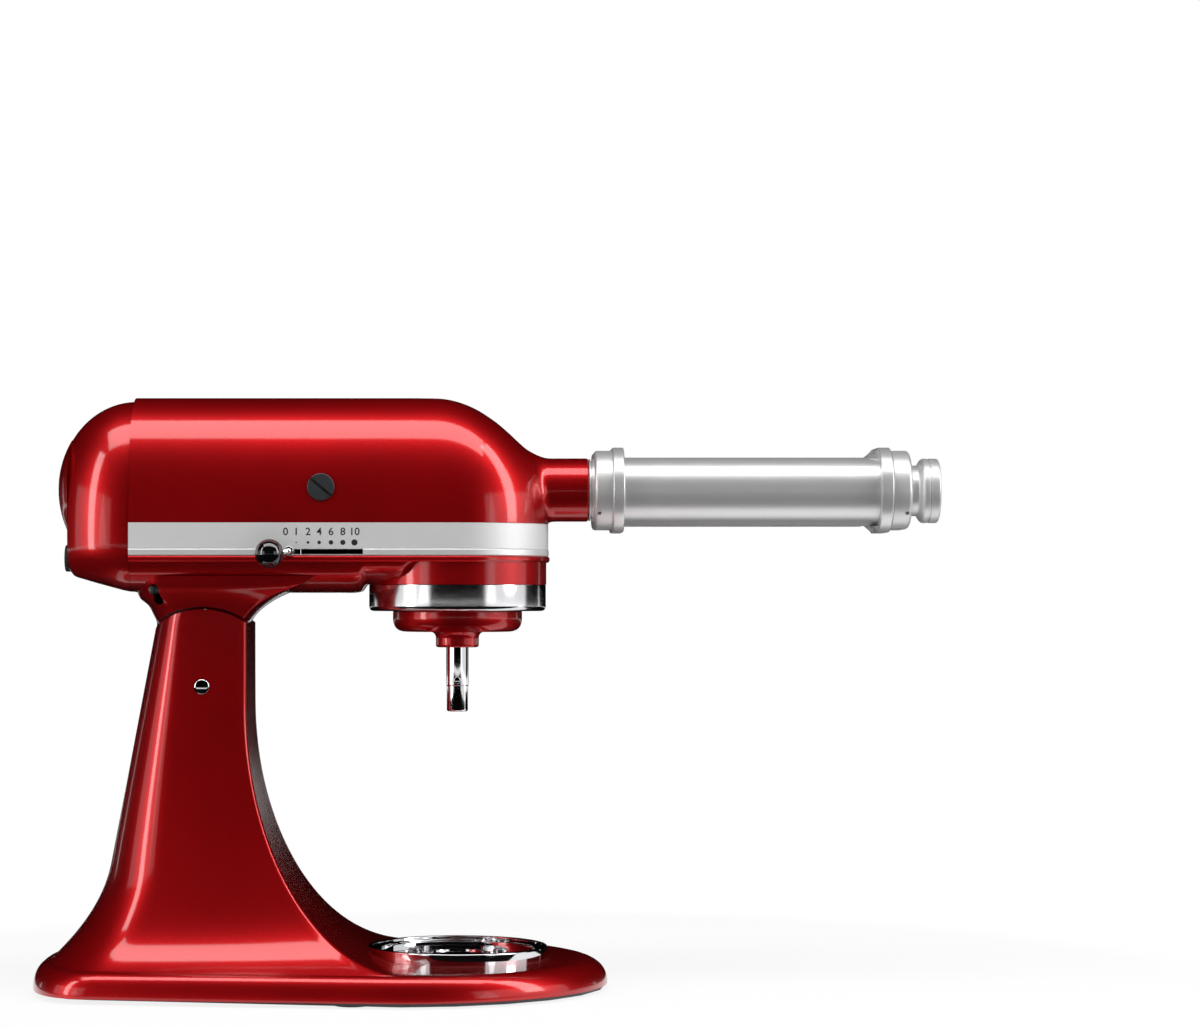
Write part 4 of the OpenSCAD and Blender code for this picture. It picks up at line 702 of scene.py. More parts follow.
edge = [SHOULDER_Z + (PLATEAU_Z - SHOULDER_Z) * math.sin(math.radians(a)) for a in steps(0, 90, 10)]
base_rings = [base_section(z) for z in [RIM_Z] + edge]
foot_ring = column_section(PLATEAU_Z + 0.3)
holding = [between(base_rings[-1], foot_ring, u) for u in (0.02, 0.5, 0.97)]
flare = [PLATEAU_Z + 0.3 + (FLARE_Z - PLATEAU_Z) * (1 - math.cos(math.radians(a))) for a in steps(0, 90, 34)[1:]]
column_rings = [foot_ring] + [column_section(z) for z in flare + steps(FLARE_Z + 6,
                                                                       COLUMN_TOP + 14, 8)]
stand = skin("stand_casting", base_rings + holding + column_rings)

hollow_rings = [base_section(z, STAND_WALL, max(RIM_Z, z + 3)) for z in (RIM_Z - 1, 7, 10)]
hollow_rings += [base_section(PLATEAU_Z - STAND_WALL, STAND_WALL + 6, PLATEAU_Z - 1)]
hollow_rings += [column_section(z, STAND_WALL, 200, z + 2) for z in (14.2, 24, 34, 48, 68, 96, 130,
                                                                     152)]
hollow_rings += [column_section(z, STAND_WALL + 0.5, FORK_HALF) for z in (158, 190,
                                                                          COLUMN_TOP + 16)]
hollow = skin("hollow", hollow_rings)

top_knife = cut(block("top_knife", (-HEEL, -BASE_W / 2, HINGE_Z + 20),
                      (0, BASE_W / 2, HINGE_Z + 80)),
                rod("joint", "Y", (-HINGE_BACK, -BASE_W, HINGE_Z), COLUMN_TOP_R, 2 * BASE_W, 360))
sweep_end = LUG_ANGLES[1] + TILT + 1
sweep = [about_hinge(9.7, -30)] + [about_hinge(60, a) for a in steps(LUG_ANGLES[0] - 1, sweep_end,
                                                                     6)]
sweep += [about_hinge(9.7, 150 + TILT)]
cut(stand, hollow, top_knife,
    prism("lug_room", sweep, FORK_HALF),
    rod("eye_room", "Y", (-HINGE_BACK, -FORK_HALF, HINGE_Z), 13.7, 2 * FORK_HALF),
    rod("pin_bore", "Y", (-HINGE_BACK, -BASE_W / 2, HINGE_Z), PIN_R + 0.02, BASE_W),
    rod("clamp_seat", "Z", (0, 0, PLATEAU_Z - 1), CLAMP_R + 0.1, 10, 144),
    block("latch_notch", (-4, 29, -22.5), (4, 35.5, -8.5), -LATCH_LEAN, (LATCH_X, 0, LATCH_Z)))
tidy_mesh(stand, 30)
finish_piece(stand, "root", "red_lacquer", "pedestal")

# %% [markdown]
# ## The head
#
# Above the trim band the head is one arch drawn along the machine, which dives at the
# nose to meet the power hub. Its cross-section is a superellipse: squarer than a circle,
# so that its sides are nearly upright and its crown is broad. The nose follows a smooth
# curve through a few measured heights. The hub ring joins it with a small fillet.

# %% Upper housing
HEAD_HALF, HUB_Z, ROOF_Z = 54.5, 298, 353
SEAM_X = -192
BAND_Z, BAND_H, BAND_T = 258, 19.4, 1
ARCH_Z = BAND_Z + BAND_H
HEAD_WALL = 3.5
HUB_R, HUB_FACE, HUB_BORE = 19, 78.4, 14
NOSE = [(-24, 0), (-6, 0.8), (9, 5.6), (22.5, 14), (31, 21.2), (39, 28.6), (45, 33.2), (50, 36),
        (54, 37.2)]


def roof_at(x):
    return ROOF_Z - (0 if x <= NOSE[0][0] else curve(NOSE, x))


def plan_half(x):
    return HEAD_HALF if x <= 0 else math.sqrt(max(0, HEAD_HALF**2 - x * x))


def power(value, exponent):
    """A signed power, for superellipses."""
    return math.copysign(abs(value) ** exponent, value)


def arch(x, inset=0, n=2.4, count=72):
    w = plan_half(x + (inset if x > 0 else 0)) - inset
    rise = roof_at(x) - inset - ARCH_Z
    ring = []
    for a in steps(0, math.pi, count):
        ring.append((x, w * power(math.cos(a), 2 / n),
                     ARCH_Z + rise * power(max(0.0, math.sin(a)), 2 / n)))
    return ring


nose_x = [-24 + (HEAD_HALF - 0.15 + 24) * math.sin(math.radians(a)) for a in steps(0, 90, 44)]
upper = skin("upper_casting", [arch(x) for x in [SEAM_X] + steps(-186, -30, 26) + nose_x])
room = [[(SEAM_X - 1, y, z) for _, y, z in arch(SEAM_X, HEAD_WALL)]]
room += [arch(x, HEAD_WALL) for x in steps(-180, -24, 12) + steps(-16, 43, 14)]
room = skin("motor_room", [[(x, y, z - 0.01) for x, y, z in ring] for ring in room])


# %% [markdown]
# Where the hub ring leaves the nose, the casting has a fillet, and the nose is curved
# both in plan and in side view, so the fillet's foot is found on the nose itself: for
# each direction round the hub, the nose's surface is looked for by halving a distance.

# %% Hub ring and its fillet
FILLET = 5.5


def nose_surface(y, z):
    """How far forward the nose reaches at this width and height, in mm."""
    if z <= ARCH_Z:
        return plan_front(y)
    low, high = -24.0, HEAD_HALF
    for _ in range(30):
        x = (low + high) / 2
        w, rise = max(plan_half(x), 1e-6), roof_at(x) - ARCH_Z
        inside = (abs(y) / w) ** 2.4 + ((z - ARCH_Z) / rise) ** 2.4 <= 1
        low, high = (x, high) if inside else (low, x)
    return low


def plan_front(y):
    return math.sqrt(max(0, HEAD_HALF**2 - y * y))


def hub_ring_point(a, radius, forward):
    y, z = radius * math.cos(a), radius * math.sin(a)
    return (nose_surface(y, HUB_Z + z) + forward, y, HUB_Z + z)


def hub_fillet_rings(count=128):
    rings = [[] for _ in range(12)]
    for a in steps(0, 2 * math.pi, count)[:-1]:
        drop = -math.sin(a)
        foot_r = HUB_R + FILLET if drop <= 0 else min(HUB_R + FILLET, (HUB_Z - ARCH_Z - 0.2) / drop)
        foot = hub_ring_point(a, foot_r, 0)
        root = hub_ring_point(a, HUB_R, 0)
        top = (root[0] + FILLET, root[1], root[2])
        rings[0].append((38, 15 * math.cos(a), HUB_Z + 15 * math.sin(a)))
        rings[1].append((foot[0] - 2, foot[1] * 0.96, HUB_Z + (foot[2] - HUB_Z) * 0.96))
        for k, u in enumerate(steps(0, 1, 7)):
            rings[2 + k].append(tuple((1 - u) ** 2 * f + 2 * u * (1 - u) * r + u**2 * t
                                      for f, r, t in zip(foot, root, top)))
        for k, (radius, x) in enumerate(((HUB_R, HUB_FACE - 0.8), (HUB_R - 0.8, HUB_FACE))):
            rings[10 + k].append((x, radius * math.cos(a), HUB_Z + radius * math.sin(a)))
    return rings


print("nose at the hub's side:", round(nose_surface(HUB_R, HUB_Z), 1), "mm")

# %% The upper casting
SLEEVE_R = 16.4
BRUSH_BACK, BRUSH_SEAT, BRUSH_CAP_R = 79.6, 46, 8
SCREW_X, SCREW_R = 66, 4
cut(upper, skin("hub_ring", hub_fillet_rings()), operation="UNION")
cut(upper, room, rod("sleeve_bore", "X", (0, 0, HUB_Z), SLEEVE_R, HUB_FACE + 10, 128),
    rod("brush_port", "Y", (-BRUSH_BACK, BRUSH_SEAT, HUB_Z), BRUSH_CAP_R + 0.1, 20),
    rod("brush_port", "Y", (-BRUSH_BACK, -BRUSH_SEAT - 20, HUB_Z), BRUSH_CAP_R + 0.1, 20),
    rod("screw_port", "Y", (SCREW_X, 0, HUB_Z), SCREW_R + 0.3, 40))
tidy_mesh(upper, 30)
finish_piece(upper, "head", "red_lacquer", "upper_housing")

# %% [markdown]
# The lower half carries the head: a belly whose sides curve under, a round front over
# the mixing gear, and a neck that turns on the stand. They were one casting, so they
# are joined into one mesh here, and the room inside, the lever's slot and the round
# joint are cut out of it. The bead that the band rests on follows the head's plan.

# %% Lower housing
LIP_Z, BELLY_Z, DRUM_Z, SIDE_BREAK = BAND_Z - 1.4, BAND_Z - 21.4, BAND_Z - 16.8, BAND_Z + 4
DRUM_R = HEAD_HALF - BAND_T - 0.2
DRIP_R = DRUM_R - 0.3
SEAT_GAP, NECK_GAP, NECK_Z = 0.1, 1.6, HINGE_Z + 33
BELLY = [(SEAM_X, BELLY_Z), (-DRIP_R - 17, BELLY_Z - 0.3), (-DRIP_R - 4.5, BELLY_Z + 0.4),
         (-DRIP_R - 0.6, DRUM_Z + 0.1), (-36, DRUM_Z + 0.1), (-31.5, DRUM_Z + 0.8),
         (-27, DRUM_Z + 5.6), (-17, DRUM_Z + 11.4), (-5, DRUM_Z + 14.2), (2, DRUM_Z + 14.8)]
NECK_FRONT = [(0, -0.6), (5, -0.4), (10.6, 3.6), (16, 10.2), (21, 19), (26, 32), (32, 44)]
NECK_REAR = [(0, 12), (5, 12), (9, 10.2), (14.8, 7.1), (19, 2.2), (26, 0.1), (32, 0.1)]
NECK_HALF = [(0, 0), (5, 0), (10, 0.5), (16, 2), (22, 5), (26, 7.5), (32, 9)]
LUG_HALF = FORK_HALF - 0.7
SLOT_X, SLOT_Z, SLOT_HALF, SLOT_LEN = -101.6, BAND_Z + 2.5, 1.75, 46.6


def plan_points(half, count=72):
    """Plan of the head: straight sides from the seam, and a half round front."""
    points = [(half * math.sin(a), -half * math.cos(a)) for a in steps(0, math.pi, count)]
    return [(SEAM_X, -half)] + points + [(SEAM_X, half)]


def plan_slab(name, half, low, high, bead=0.0):
    """The plan pulled up between two heights, with its edges rounded by the bead's radius."""
    levels = [(low, bead), (low + bead, 0), (high - bead, 0), (high, bead)] if bead else [(low, 0),
                                                                                          (high, 0)]
    return skin(name, [[(x, y, z) for x, y in plan_points(half - b)] for z, b in levels])


def belly_section(x, inset=0):
    low = curve(BELLY, x) + inset
    w = HEAD_HALF - BAND_T - 0.15 - inset
    return [(x, w * power(math.cos(a), 2 / 3),
             SIDE_BREAK - (SIDE_BREAK - low) * power(-math.sin(a), 2 / 3))
            for a in steps(-math.pi, 0, 96)]


def neck_section(h):
    xf, xr = curve(NECK_FRONT, h) - COLUMN_BACK, curve(NECK_REAR, h) + SEAM_X
    w = curve(NECK_HALF, h) + COLUMN_W / 2
    front = [(xf - 3 * (1 - math.cos(a)), (w - 1) * math.sin(a)) for a in steps(-math.pi / 2,
                                                                                math.pi / 2, 40)]
    return section(NECK_Z + h, front, flank(xf - 3, w - 1, w + 1, xr, w - 3, 18, 2.3), xr)


belly_x = steps(SEAM_X, -DRIP_R - 17, 20) + [-DRIP_R - 13, -DRIP_R - 9, -DRIP_R - 6.5]
belly_x += steps(-DRIP_R - 4.5, -DRIP_R - 0.6, 5) + [-45] + steps(-36, 0, 26)
lower = skin("lower_casting", [belly_section(x) for x in belly_x])
drum = rod("drum", "Z", (0, 0, DRUM_Z), DRUM_R, 22, 192)
neck = skin("neck", [neck_section(h) for h in steps(0, 32, 24)])
cut(lower, drum, neck, operation="UNION")
cut(lower, block("above_sides", (-300, -100, SIDE_BREAK), (100, 100, SIDE_BREAK + 100)))
cut(lower, plan_slab("bed", HEAD_HALF - BAND_T - 0.1, LIP_Z, ARCH_Z - SEAT_GAP), operation="UNION")

cut(lower, plan_slab("bead", HEAD_HALF + 0.8, BAND_Z - 3.6, BAND_Z - 0.05, 0.9), operation="UNION")

lug_side = [about_hinge(52, LUG_ANGLES[0]), about_hinge(52, LUG_ANGLES[1]), about_hinge(9, 150),
            about_hinge(9, -30)]
lug = prism("lug", lug_side, LUG_HALF)
cut(lug, rod("eye", "Y", (-HINGE_BACK, -LUG_HALF, HINGE_Z), 13, 2 * LUG_HALF), operation="UNION")
cut(lug, rod("eye_bore", "Y", (-HINGE_BACK, -50, HINGE_Z), PIN_R + 2.05, 100))

inner = plan_slab("inner", HEAD_HALF - HEAD_WALL - 1.5, BAND_Z - 2, BAND_Z + 60)
belly_room = skin("belly_room",
                  [belly_section(x, HEAD_WALL) for x in steps(SEAM_X + 5, -DRIP_R - 17,
                                                              8) + [-DRIP_R - 9, -DRIP_R + 5]])
front_room = rod("front_room", "Z", (0, 0, BAND_Z - 12), DRUM_R - HEAD_WALL - 1.3, 11, 128)
cut(inner, belly_room, front_room, operation="UNION")
cut(inner, block("front_wall", (41, -60, 200), (101, 60, 400)),
    block("rear_wall", (SEAM_X - 1, -60, 200), (SEAM_X + 5, 60, 400)))


def latch_way(radius, extra):
    """The slanted slot that the lock's pin slides in, right across the neck."""
    a = math.radians(LATCH_LEAN)
    ends = [(LATCH_X + d * math.sin(a), LATCH_Z - d * math.cos(a)) for d in (-extra, 6 + extra)]
    outline = [(ends[0][0] + radius * math.cos(t), ends[0][1] + radius * math.sin(t))
               for t in steps(-a, math.pi - a, 16)]
    outline += [(ends[1][0] + radius * math.cos(t), ends[1][1] + radius * math.sin(t))
                for t in steps(math.pi - a, 2 * math.pi - a, 16)]
    return prism("latch_way", outline, 60)


# Between the ears the neck comes closer to the stand, so no light shows through the seam
cut(lower, rod("joint", "Y", (-HINGE_BACK, -BASE_W, HINGE_Z), COLUMN_TOP_R + SEAT_GAP, 2 * BASE_W,
               360),
    rod("seam", "Y", (-HINGE_BACK, -BASE_W, HINGE_Z), COLUMN_TOP_R + NECK_GAP, BASE_W - LUG_HALF,
        360),
    rod("seam", "Y", (-HINGE_BACK, LUG_HALF, HINGE_Z), COLUMN_TOP_R + NECK_GAP, BASE_W - LUG_HALF,
        360))
cut(lower, inner, block("lever_slot", (SLOT_X, -HEAD_HALF - 3, SLOT_Z - SLOT_HALF),
                        (SLOT_X + SLOT_LEN, -HEAD_HALF + 9, SLOT_Z + SLOT_HALF)),
    rod("gear_seat", "Z", (0, 0, DRUM_Z - 1), DRIP_R - 12, 3.6, 128),
    rod("bush_hole", "Z", (0, 0, DRUM_Z - 1), 11, 30),
    rod("worm_hole", "Z", (-42, 24.754, DRUM_Z - 3), 6.5, 20), latch_way(3.3, 0.2),
    block("bolt_room", (-4.1, 28.5, -30.5), (4.1, 36, 5), -LATCH_LEAN, (LATCH_X, 0, LATCH_Z)))
cut(lower, lug, operation="UNION")
tidy_mesh(lower, 30)
finish_piece(lower, "head", "red_lacquer", "lower_housing")

# %% [markdown]
# The rear cover closes the motor end with a dome. Its rim stands a shade inside the
# housings, so the seam reads as a fine dark line, and its lower half runs on into a
# squarer foot over the cord. Sections that crowd together towards the end make it round.

# %% Rear cover
COVER_LEN = 46.6
COVER_END, FOOT_X = SEAM_X - COVER_LEN, SEAM_X - 38.2
COVER_LOW = [(FOOT_X, BAND_Z - 9.5), (FOOT_X + 2, BAND_Z - 12), (FOOT_X + 6, BAND_Z - 13.4),
             (SEAM_X - 16, BAND_Z - 18), (SEAM_X - 4, BAND_Z - 21), (SEAM_X, BELLY_Z + 0.4)]


def dome(x):
    return math.sqrt(max(0, 1 - ((SEAM_X - x) / COVER_LEN) ** 2))


def cover_section(x, inset=0):
    d, behind = dome(x), x < FOOT_X
    top = HUB_Z + (HEAD_HALF + 0.5 - 2.2) * d - inset
    w = (HEAD_HALF - 1.6) * d ** 0.8 - inset
    mid = HUB_Z if behind else SIDE_BREAK + 8
    low = (HUB_Z - 31 * d / dome(FOOT_X) if behind else curve(COVER_LOW, x)) + inset
    ring = []
    for a in steps(0, 2 * math.pi, 144)[:-1]:
        c, s = math.cos(a), math.sin(a)
        n = 2.3 if s >= 0 or behind else 3.2
        height = (top - mid) * power(s, 2 / n) if s >= 0 else -(mid - low) * power(-s, 2 / n)
        ring.append((x, w * power(c, 2 / n), mid + height))
    return ring


round_end = [SEAM_X - COVER_LEN * math.cos(math.radians(a)) for a in steps(3, 33, 14)]
behind_x = [x for x in round_end if x < FOOT_X - 0.4] + [FOOT_X - 0.2]
cover_x = behind_x + [FOOT_X, FOOT_X + 0.6, FOOT_X + 1.2] + steps(FOOT_X + 2, SEAM_X - 0.4, 30)
cover = skin("rear_dome", [cover_section(x) for x in cover_x])
cover_room = [cover_section(x, HEAD_WALL) for x in steps(FOOT_X + 2.5, SEAM_X - 6, 8)]
cover_room += [[(SEAM_X + 1, y, z) for _, y, z in cover_section(SEAM_X - 0.4, HEAD_WALL)]]
cut(cover, skin("cover_room", cover_room),
    rod("gland_hole", "X", (COVER_END - 1, 0, BAND_Z - 1), 6.05, 40),
    rod("screw_hole", "X", (COVER_END - 1, 0, HUB_Z + 20), 2.6, 60),
    rod("screw_recess", "X", (COVER_END - 1, 0, HUB_Z + 20), 4.6, 12.2))
tidy_mesh(cover, 30)
finish_piece(cover, "head", "red_lacquer", "rear_cover")

# %% [markdown]
# Most of the bright pieces were turned on a lathe, so they are drawn as half of a
# cross-section and spun. Every corner of the section is first rounded by its own small
# radius, because a corner that is perfectly sharp catches no light and looks unreal.

# %% Turned pieces


def rounded(corners, count=6):
    """An outline whose corners (a, b, radius) are eased by that radius; no radius keeps it sharp."""
    points = []
    for i, corner in enumerate(corners):
        here, size = Vector(corner[:2]), (corner[2] if len(corner) > 2 else 0)
        if not size:
            points.append(tuple(here))
            continue
        before = here + (Vector(corners[i - 1][:2]) - here).normalized() * size
        after = here + (Vector(corners[(i + 1) % len(corners)][:2]) - here).normalized() * size
        points += [tuple((1 - u) ** 2 * before + 2 * u * (1 - u) * here + u**2 * after) for u in steps(0, 1, count)]
    return points


def turned(name, axis, place, corners, count=144, closed=None):
    """Spins a section of (radius, height, corner radius) in mm round an axis through "place"."""
    points = rounded(corners)
    closed = corners[0][0] > 0 if closed is None else closed
    mesh = bpy.data.meshes.new(name)
    edges = [(i, i + 1) for i in range(len(points) - 1)] + ([(len(points) - 1,
                                                              0)] if closed else [])
    mesh.from_pydata([(r / 1000, 0, h / 1000) for r, h in points], edges, [])
    piece = bpy.data.objects.new(name, mesh)
    bpy.context.scene.collection.objects.link(piece)
    apply_modifier(piece, "SCREW", axis="Z", angle=2 * math.pi, steps=count, render_steps=count,
                   use_merge_vertices=True, merge_threshold=0.000002)
    piece.rotation_euler = {"X": (0, math.radians(90), 0), "Y": (math.radians(-90), 0, 0),
                            "Z": (0, 0, 0)}[axis]
    piece.location = at(*place)
    return tidy_mesh(settle(piece), 30)


def joined(*pieces):
    """Makes one object out of several that are one piece, or a set of the same piece."""
    only(*pieces)
    bpy.ops.object.join()
    return bpy.context.object


# %% [markdown]
# ## The front of the head
#
# The drip ring is pressed and chromed, with a lower edge that is rolled to a radius of
# three millimetres. The mixing gear's carrier below it is cast and lacquered like the
# housings, and the boss that holds the beater's shaft leaves it in a small fillet.

# %% Drip ring, carrier and beater shaft
DRIP_H, CARRIER_R, CARRIER_H = 15.8, 38.75, 12.6
BEATER_Y, BEATER_R = -24, 6.35
GEAR_Z = DRUM_Z - 12
CARRIER_Z, BEATER_LOW = GEAR_Z - 16.2, GEAR_Z - 25.2
BEATER_END, BEATER_PIN_Z = BEATER_LOW - 38, BEATER_LOW - 19.6

r = DRIP_R
ring = turned("drip_ring_pressed", "Z", (0, 0, DRUM_Z - DRIP_H), [
    (r - 11, 0, 0.6), (r, 0, 3), (r, DRIP_H - 0.05, 0.5), (r - 11, DRIP_H - 0.05, 0.3),
    (r - 11, DRIP_H - 2, 0.3), (r - 2, DRIP_H - 2, 0.6), (r - 2, 2, 1), (r - 11, 2, 0.3)], 192)
finish_piece(ring, "head", "buffed_chrome", "drip_ring")

disc = turned("carrier_casting", "Z", (0, 0, CARRIER_Z),
              [(0, 0), (CARRIER_R, 0, 8), (CARRIER_R, CARRIER_H, 0.8), (0, CARRIER_H)], 160)
boss = turned("beater_boss", "Z", (0, BEATER_Y, BEATER_LOW),
              [(0, 0), (12.75, 0, 1.6), (12.75, 9.2, 4), (20, 9.2), (16, 13), (0, 13)])
cut(disc, boss, operation="UNION")
cut(disc, rod("shaft_bore", "Z", (0, 0, CARRIER_Z + 2), 7.02, 30),
    rod("beater_bore", "Z", (0, BEATER_Y, BEATER_LOW - 1), BEATER_R + 0.3, 30))
tidy_mesh(disc, 30)
finish_piece(disc, "planetary", "red_lacquer", "planetary_carrier")

thick = BEATER_R + 0.25
shaft = turned("beater_spindle", "Z", (0, BEATER_Y, BEATER_END), [
    (0, 0), (BEATER_R, 0, 1.6), (BEATER_R, 15.2, 0.2), (thick, 15.5,
                                                        0.2), (thick, GEAR_Z - 0.5 - BEATER_END,
                                                               0.2),
    (BEATER_R - 0.36, GEAR_Z - 0.5 - BEATER_END, 0.1), (BEATER_R - 0.36,
                                                        GEAR_Z + 7.8 - BEATER_END),
                                                                  (0, GEAR_Z + 7.8 - BEATER_END)])
half = BEATER_R + 3.2
pin = turned("beater_cross_pin", "Y", (0, BEATER_Y - half, BEATER_PIN_Z),
             [(0, 0), (2, 0, 0.5), (2, 2 * half, 0.5), (0, 2 * half)], 48)
finish_piece(joined(shaft, pin), "beater_drive", "polished_chrome", "beater_shaft")

# %% [markdown]
# ## The trim band
#
# The band is a strip of aluminium, brushed along its length and bent round the front.
# Its lowest four millimetres are a polished bead that the speed lever's slot runs in.
# The numbers over the slot are printed, and so are the dots that grow with the speed:
# they are laid on as a film a few hundredths of a millimetre thick.

# %% Trim band
BAND_TOP = BAND_Z + BAND_H - 0.1
BEAD_TOP = BAND_Z + 4.1
finishes["polished_bead"] = metal("aluminium_bead_buffed", "#ececec", 0.4, 0.05, ALONG_X, bump=0.1,
                                  metallic=0.6)


def band_slab(name, half, low, high, bead):
    slab = plan_slab(name, half, low, high, bead)
    inside = plan_slab("band_inside", HEAD_HALF - BAND_T, low - 1, high + 1)
    open_back = block("open_back", (SEAM_X - 5, -HEAD_HALF + BAND_T, low - 2),
                      (SEAM_X + 5, HEAD_HALF - BAND_T, high + 2))
    return cut(slab, inside, open_back)


band = band_slab("trim_strip", HEAD_HALF, BEAD_TOP, BAND_TOP, 0.3)
bead = band_slab("trim_bead", HEAD_HALF + 0.3, BAND_Z, BEAD_TOP - 0.06, 0.5)
slot = block("slot", (SLOT_X, -HEAD_HALF - 3, SLOT_Z - SLOT_HALF),
             (SLOT_X + SLOT_LEN, -HEAD_HALF + 9, SLOT_Z + SLOT_HALF - 0.4))
cut(bead, slot)
for piece, finish in ((band, "brushed_band"), (bead, "polished_bead")):
    tidy_mesh(piece, 30)
    settle(piece)
    piece.data.materials.clear()
    piece.data.materials.append(finishes[finish])
band = joined(band, bead)
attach(band, "head")
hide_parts("trim_band")
print(band.name, len(band.data.polygons), "faces", [m.name for m in band.data.materials])

# %% Numbers and dots of the speed scale
SCALE_X = [-100.1, -93.9, -87.0, -80.5, -73.6, -66.7, -59.9]
SCALE_TEXT = ["0", "1", "2", "4", "6", "8", "10"]
DOTS = [0, 0.8, 1.6, 2.1, 2.6, 3.0, 3.6]
NUMBER_Z, DOT_Z, FILM = 269.9, 265.6, 0.03
NUMBER_SIZE, NUMBER_BOLD = 0.0062, 0.00008
finishes["printed_ink"] = moulding("screen_printed_grey_ink", "#1b1c1e", "#26272a", 0.55, 0.3, 0.1)
printed = []
for x, words, size in zip(SCALE_X, SCALE_TEXT, DOTS):
    bpy.ops.object.text_add(location=at(x, -HEAD_HALF - 0.01, NUMBER_Z),
                            rotation=(math.radians(90), 0, 0))
    number = bpy.context.object
    number.data.body = words
    number.data.align_x = "CENTER"
    number.data.size = NUMBER_SIZE
    number.data.offset = NUMBER_BOLD
    number.data.extrude = FILM / 2000
    bpy.ops.object.convert(target="MESH")
    printed.append(tidy_mesh(settle(bpy.context.object)))
    if size:
        printed.append(turned("dot", "Y", (x, -HEAD_HALF - FILM, DOT_Z),
                              [(0, 0), (size / 2, 0), (size / 2, FILM), (0, FILM)], 40))
numbers = joined(*printed)
numbers.name = "speed_scale"
finish_piece(numbers, "head", "printed_ink")

# %% [markdown]
# The lever ends in a glossy moulded ball on a chromed stem, which comes out of the slot
# through a small collar. The two caps that hold the motor's brushes are moulded, with a
# slot for a coin. The far side has the tilt lock: a waisted knob on the same slanted pin.

# %% Speed lever, brush caps and tilt lock
SPEED_X, BALL_Y, BALL_R = SLOT_X + 3.3, HEAD_HALF + 11, 8.5
BALL_Z = SLOT_Z - 1.5
ELBOW = (SPEED_X, -HEAD_HALF - 3, SLOT_Z)
BALL_MIDDLE = (SPEED_X - 10.6, -BALL_Y, BALL_Z)
way = at(*BALL_MIDDLE) - at(*ELBOW)


def along_crank(piece):
    """Turns a piece that was made at the origin so that it runs from the elbow to the ball."""
    piece.matrix_world = Matrix.Translation(at(*ELBOW)) @ way.to_track_quat("Z", "Y").to_matrix().to_4x4()
    return settle(piece)


CRANK = way.length * 1000
ORIGIN = (-BOWL_X * 1000, 0, 0)
ball = turned("lever_ball", "Z", ORIGIN,
              [(1.5, CRANK - BALL_R * 0.94, 0.2), (2.9, CRANK - BALL_R * 0.94, 0.3)]
              + [(BALL_R * math.sin(a), CRANK - BALL_R * math.cos(a)) for a in steps(0.4, 3.1, 60)]
              + [(0, CRANK + BALL_R), (0, CRANK - 2), (1.5, CRANK - 2)], 96, closed=True)
finish_piece(along_crank(ball), "speed_control", "black_knob", "speed_knob")

stem = turned("lever_stem", "Y", ELBOW, [(0, 0), (1.5, 0), (1.5, 10.4), (0, 10.4)], 48)
crank = along_crank(turned("lever_crank", "Z", ORIGIN,
                           [(0, -1.9), (1.34, -1.34, 0.5), (1.9, 0, 0.8), (1.5, 1.2, 0.3),
                            (1.5, CRANK - 2), (0, CRANK - 2)], 48))
collar = turned("lever_collar", "Y", (SPEED_X, -HEAD_HALF - 2.2, SLOT_Z),
                [(1.4, 0, 0.1), (2.8, 0, 0.5), (2.8, 1.6, 0.2), (1.4, 1.6)], 64)
foot = block("lever_foot", (SPEED_X - 7, -HEAD_HALF + 5.2, SLOT_Z - 3),
             (SPEED_X + 7, -HEAD_HALF + 7.2, SLOT_Z + 12))
apply_modifier(foot, "BEVEL", width=0.0003, segments=2)
finish_piece(joined(stem, crank, collar, foot), "speed_control", "polished_chrome", "speed_lever")

CAP_OUT = HEAD_HALF - BRUSH_SEAT + 0.6
caps = []
for side in (-1, 1):
    cap = turned("brush_cap", "Y", (-BRUSH_BACK, BRUSH_SEAT, HUB_Z), [
        (0, 0), (6, 0, 0.4), (6, CAP_OUT - 3.4), (BRUSH_CAP_R, CAP_OUT - 3.4, 0.3),
                                                                      (BRUSH_CAP_R, CAP_OUT, 0.9),
                                                                      (0, CAP_OUT)], 96)
    cut(cap, block("coin_slot", (-10, BRUSH_SEAT + CAP_OUT - 1.6, -0.8),
                   (10, BRUSH_SEAT + CAP_OUT + 2, 0.8),
                   40, (-BRUSH_BACK, 0, HUB_Z)))
    cut(cap, rod("brush_room", "Y", (-BRUSH_BACK, BRUSH_SEAT - 1, HUB_Z), 3.6, 4, 48))
    if side < 0:
        cap.scale.y = -1
        settle(cap)
    caps.append(tidy_mesh(cap, 30))
finish_piece(joined(*caps), "head", "dark_phenolic", "brush_caps")

knob = turned("lock_handle", "Y", (LATCH_X, HEAD_HALF - 3, LATCH_Z), [
    (3.01, 0), (5.5, 0, 0.4), (5.5, 2, 0.5), (4.2, 2, 0.3), (6.5, 10, 1.5), (6.5, 14.2, 1),
                                                                      (4.5, 16, 1), (3.01, 16)], 96)
finish_piece(knob, "tilt_lock", "black_knob", "lock_knob")

# %% [markdown]
# ## The stand's small pieces
#
# The bowl clamp is a chromed ring with a rolled rim. Three lips reach inwards from it,
# and a bowl's lugs turn under them. The hinge pin is turned with a domed end, and the
# six feet are moulded rubber.

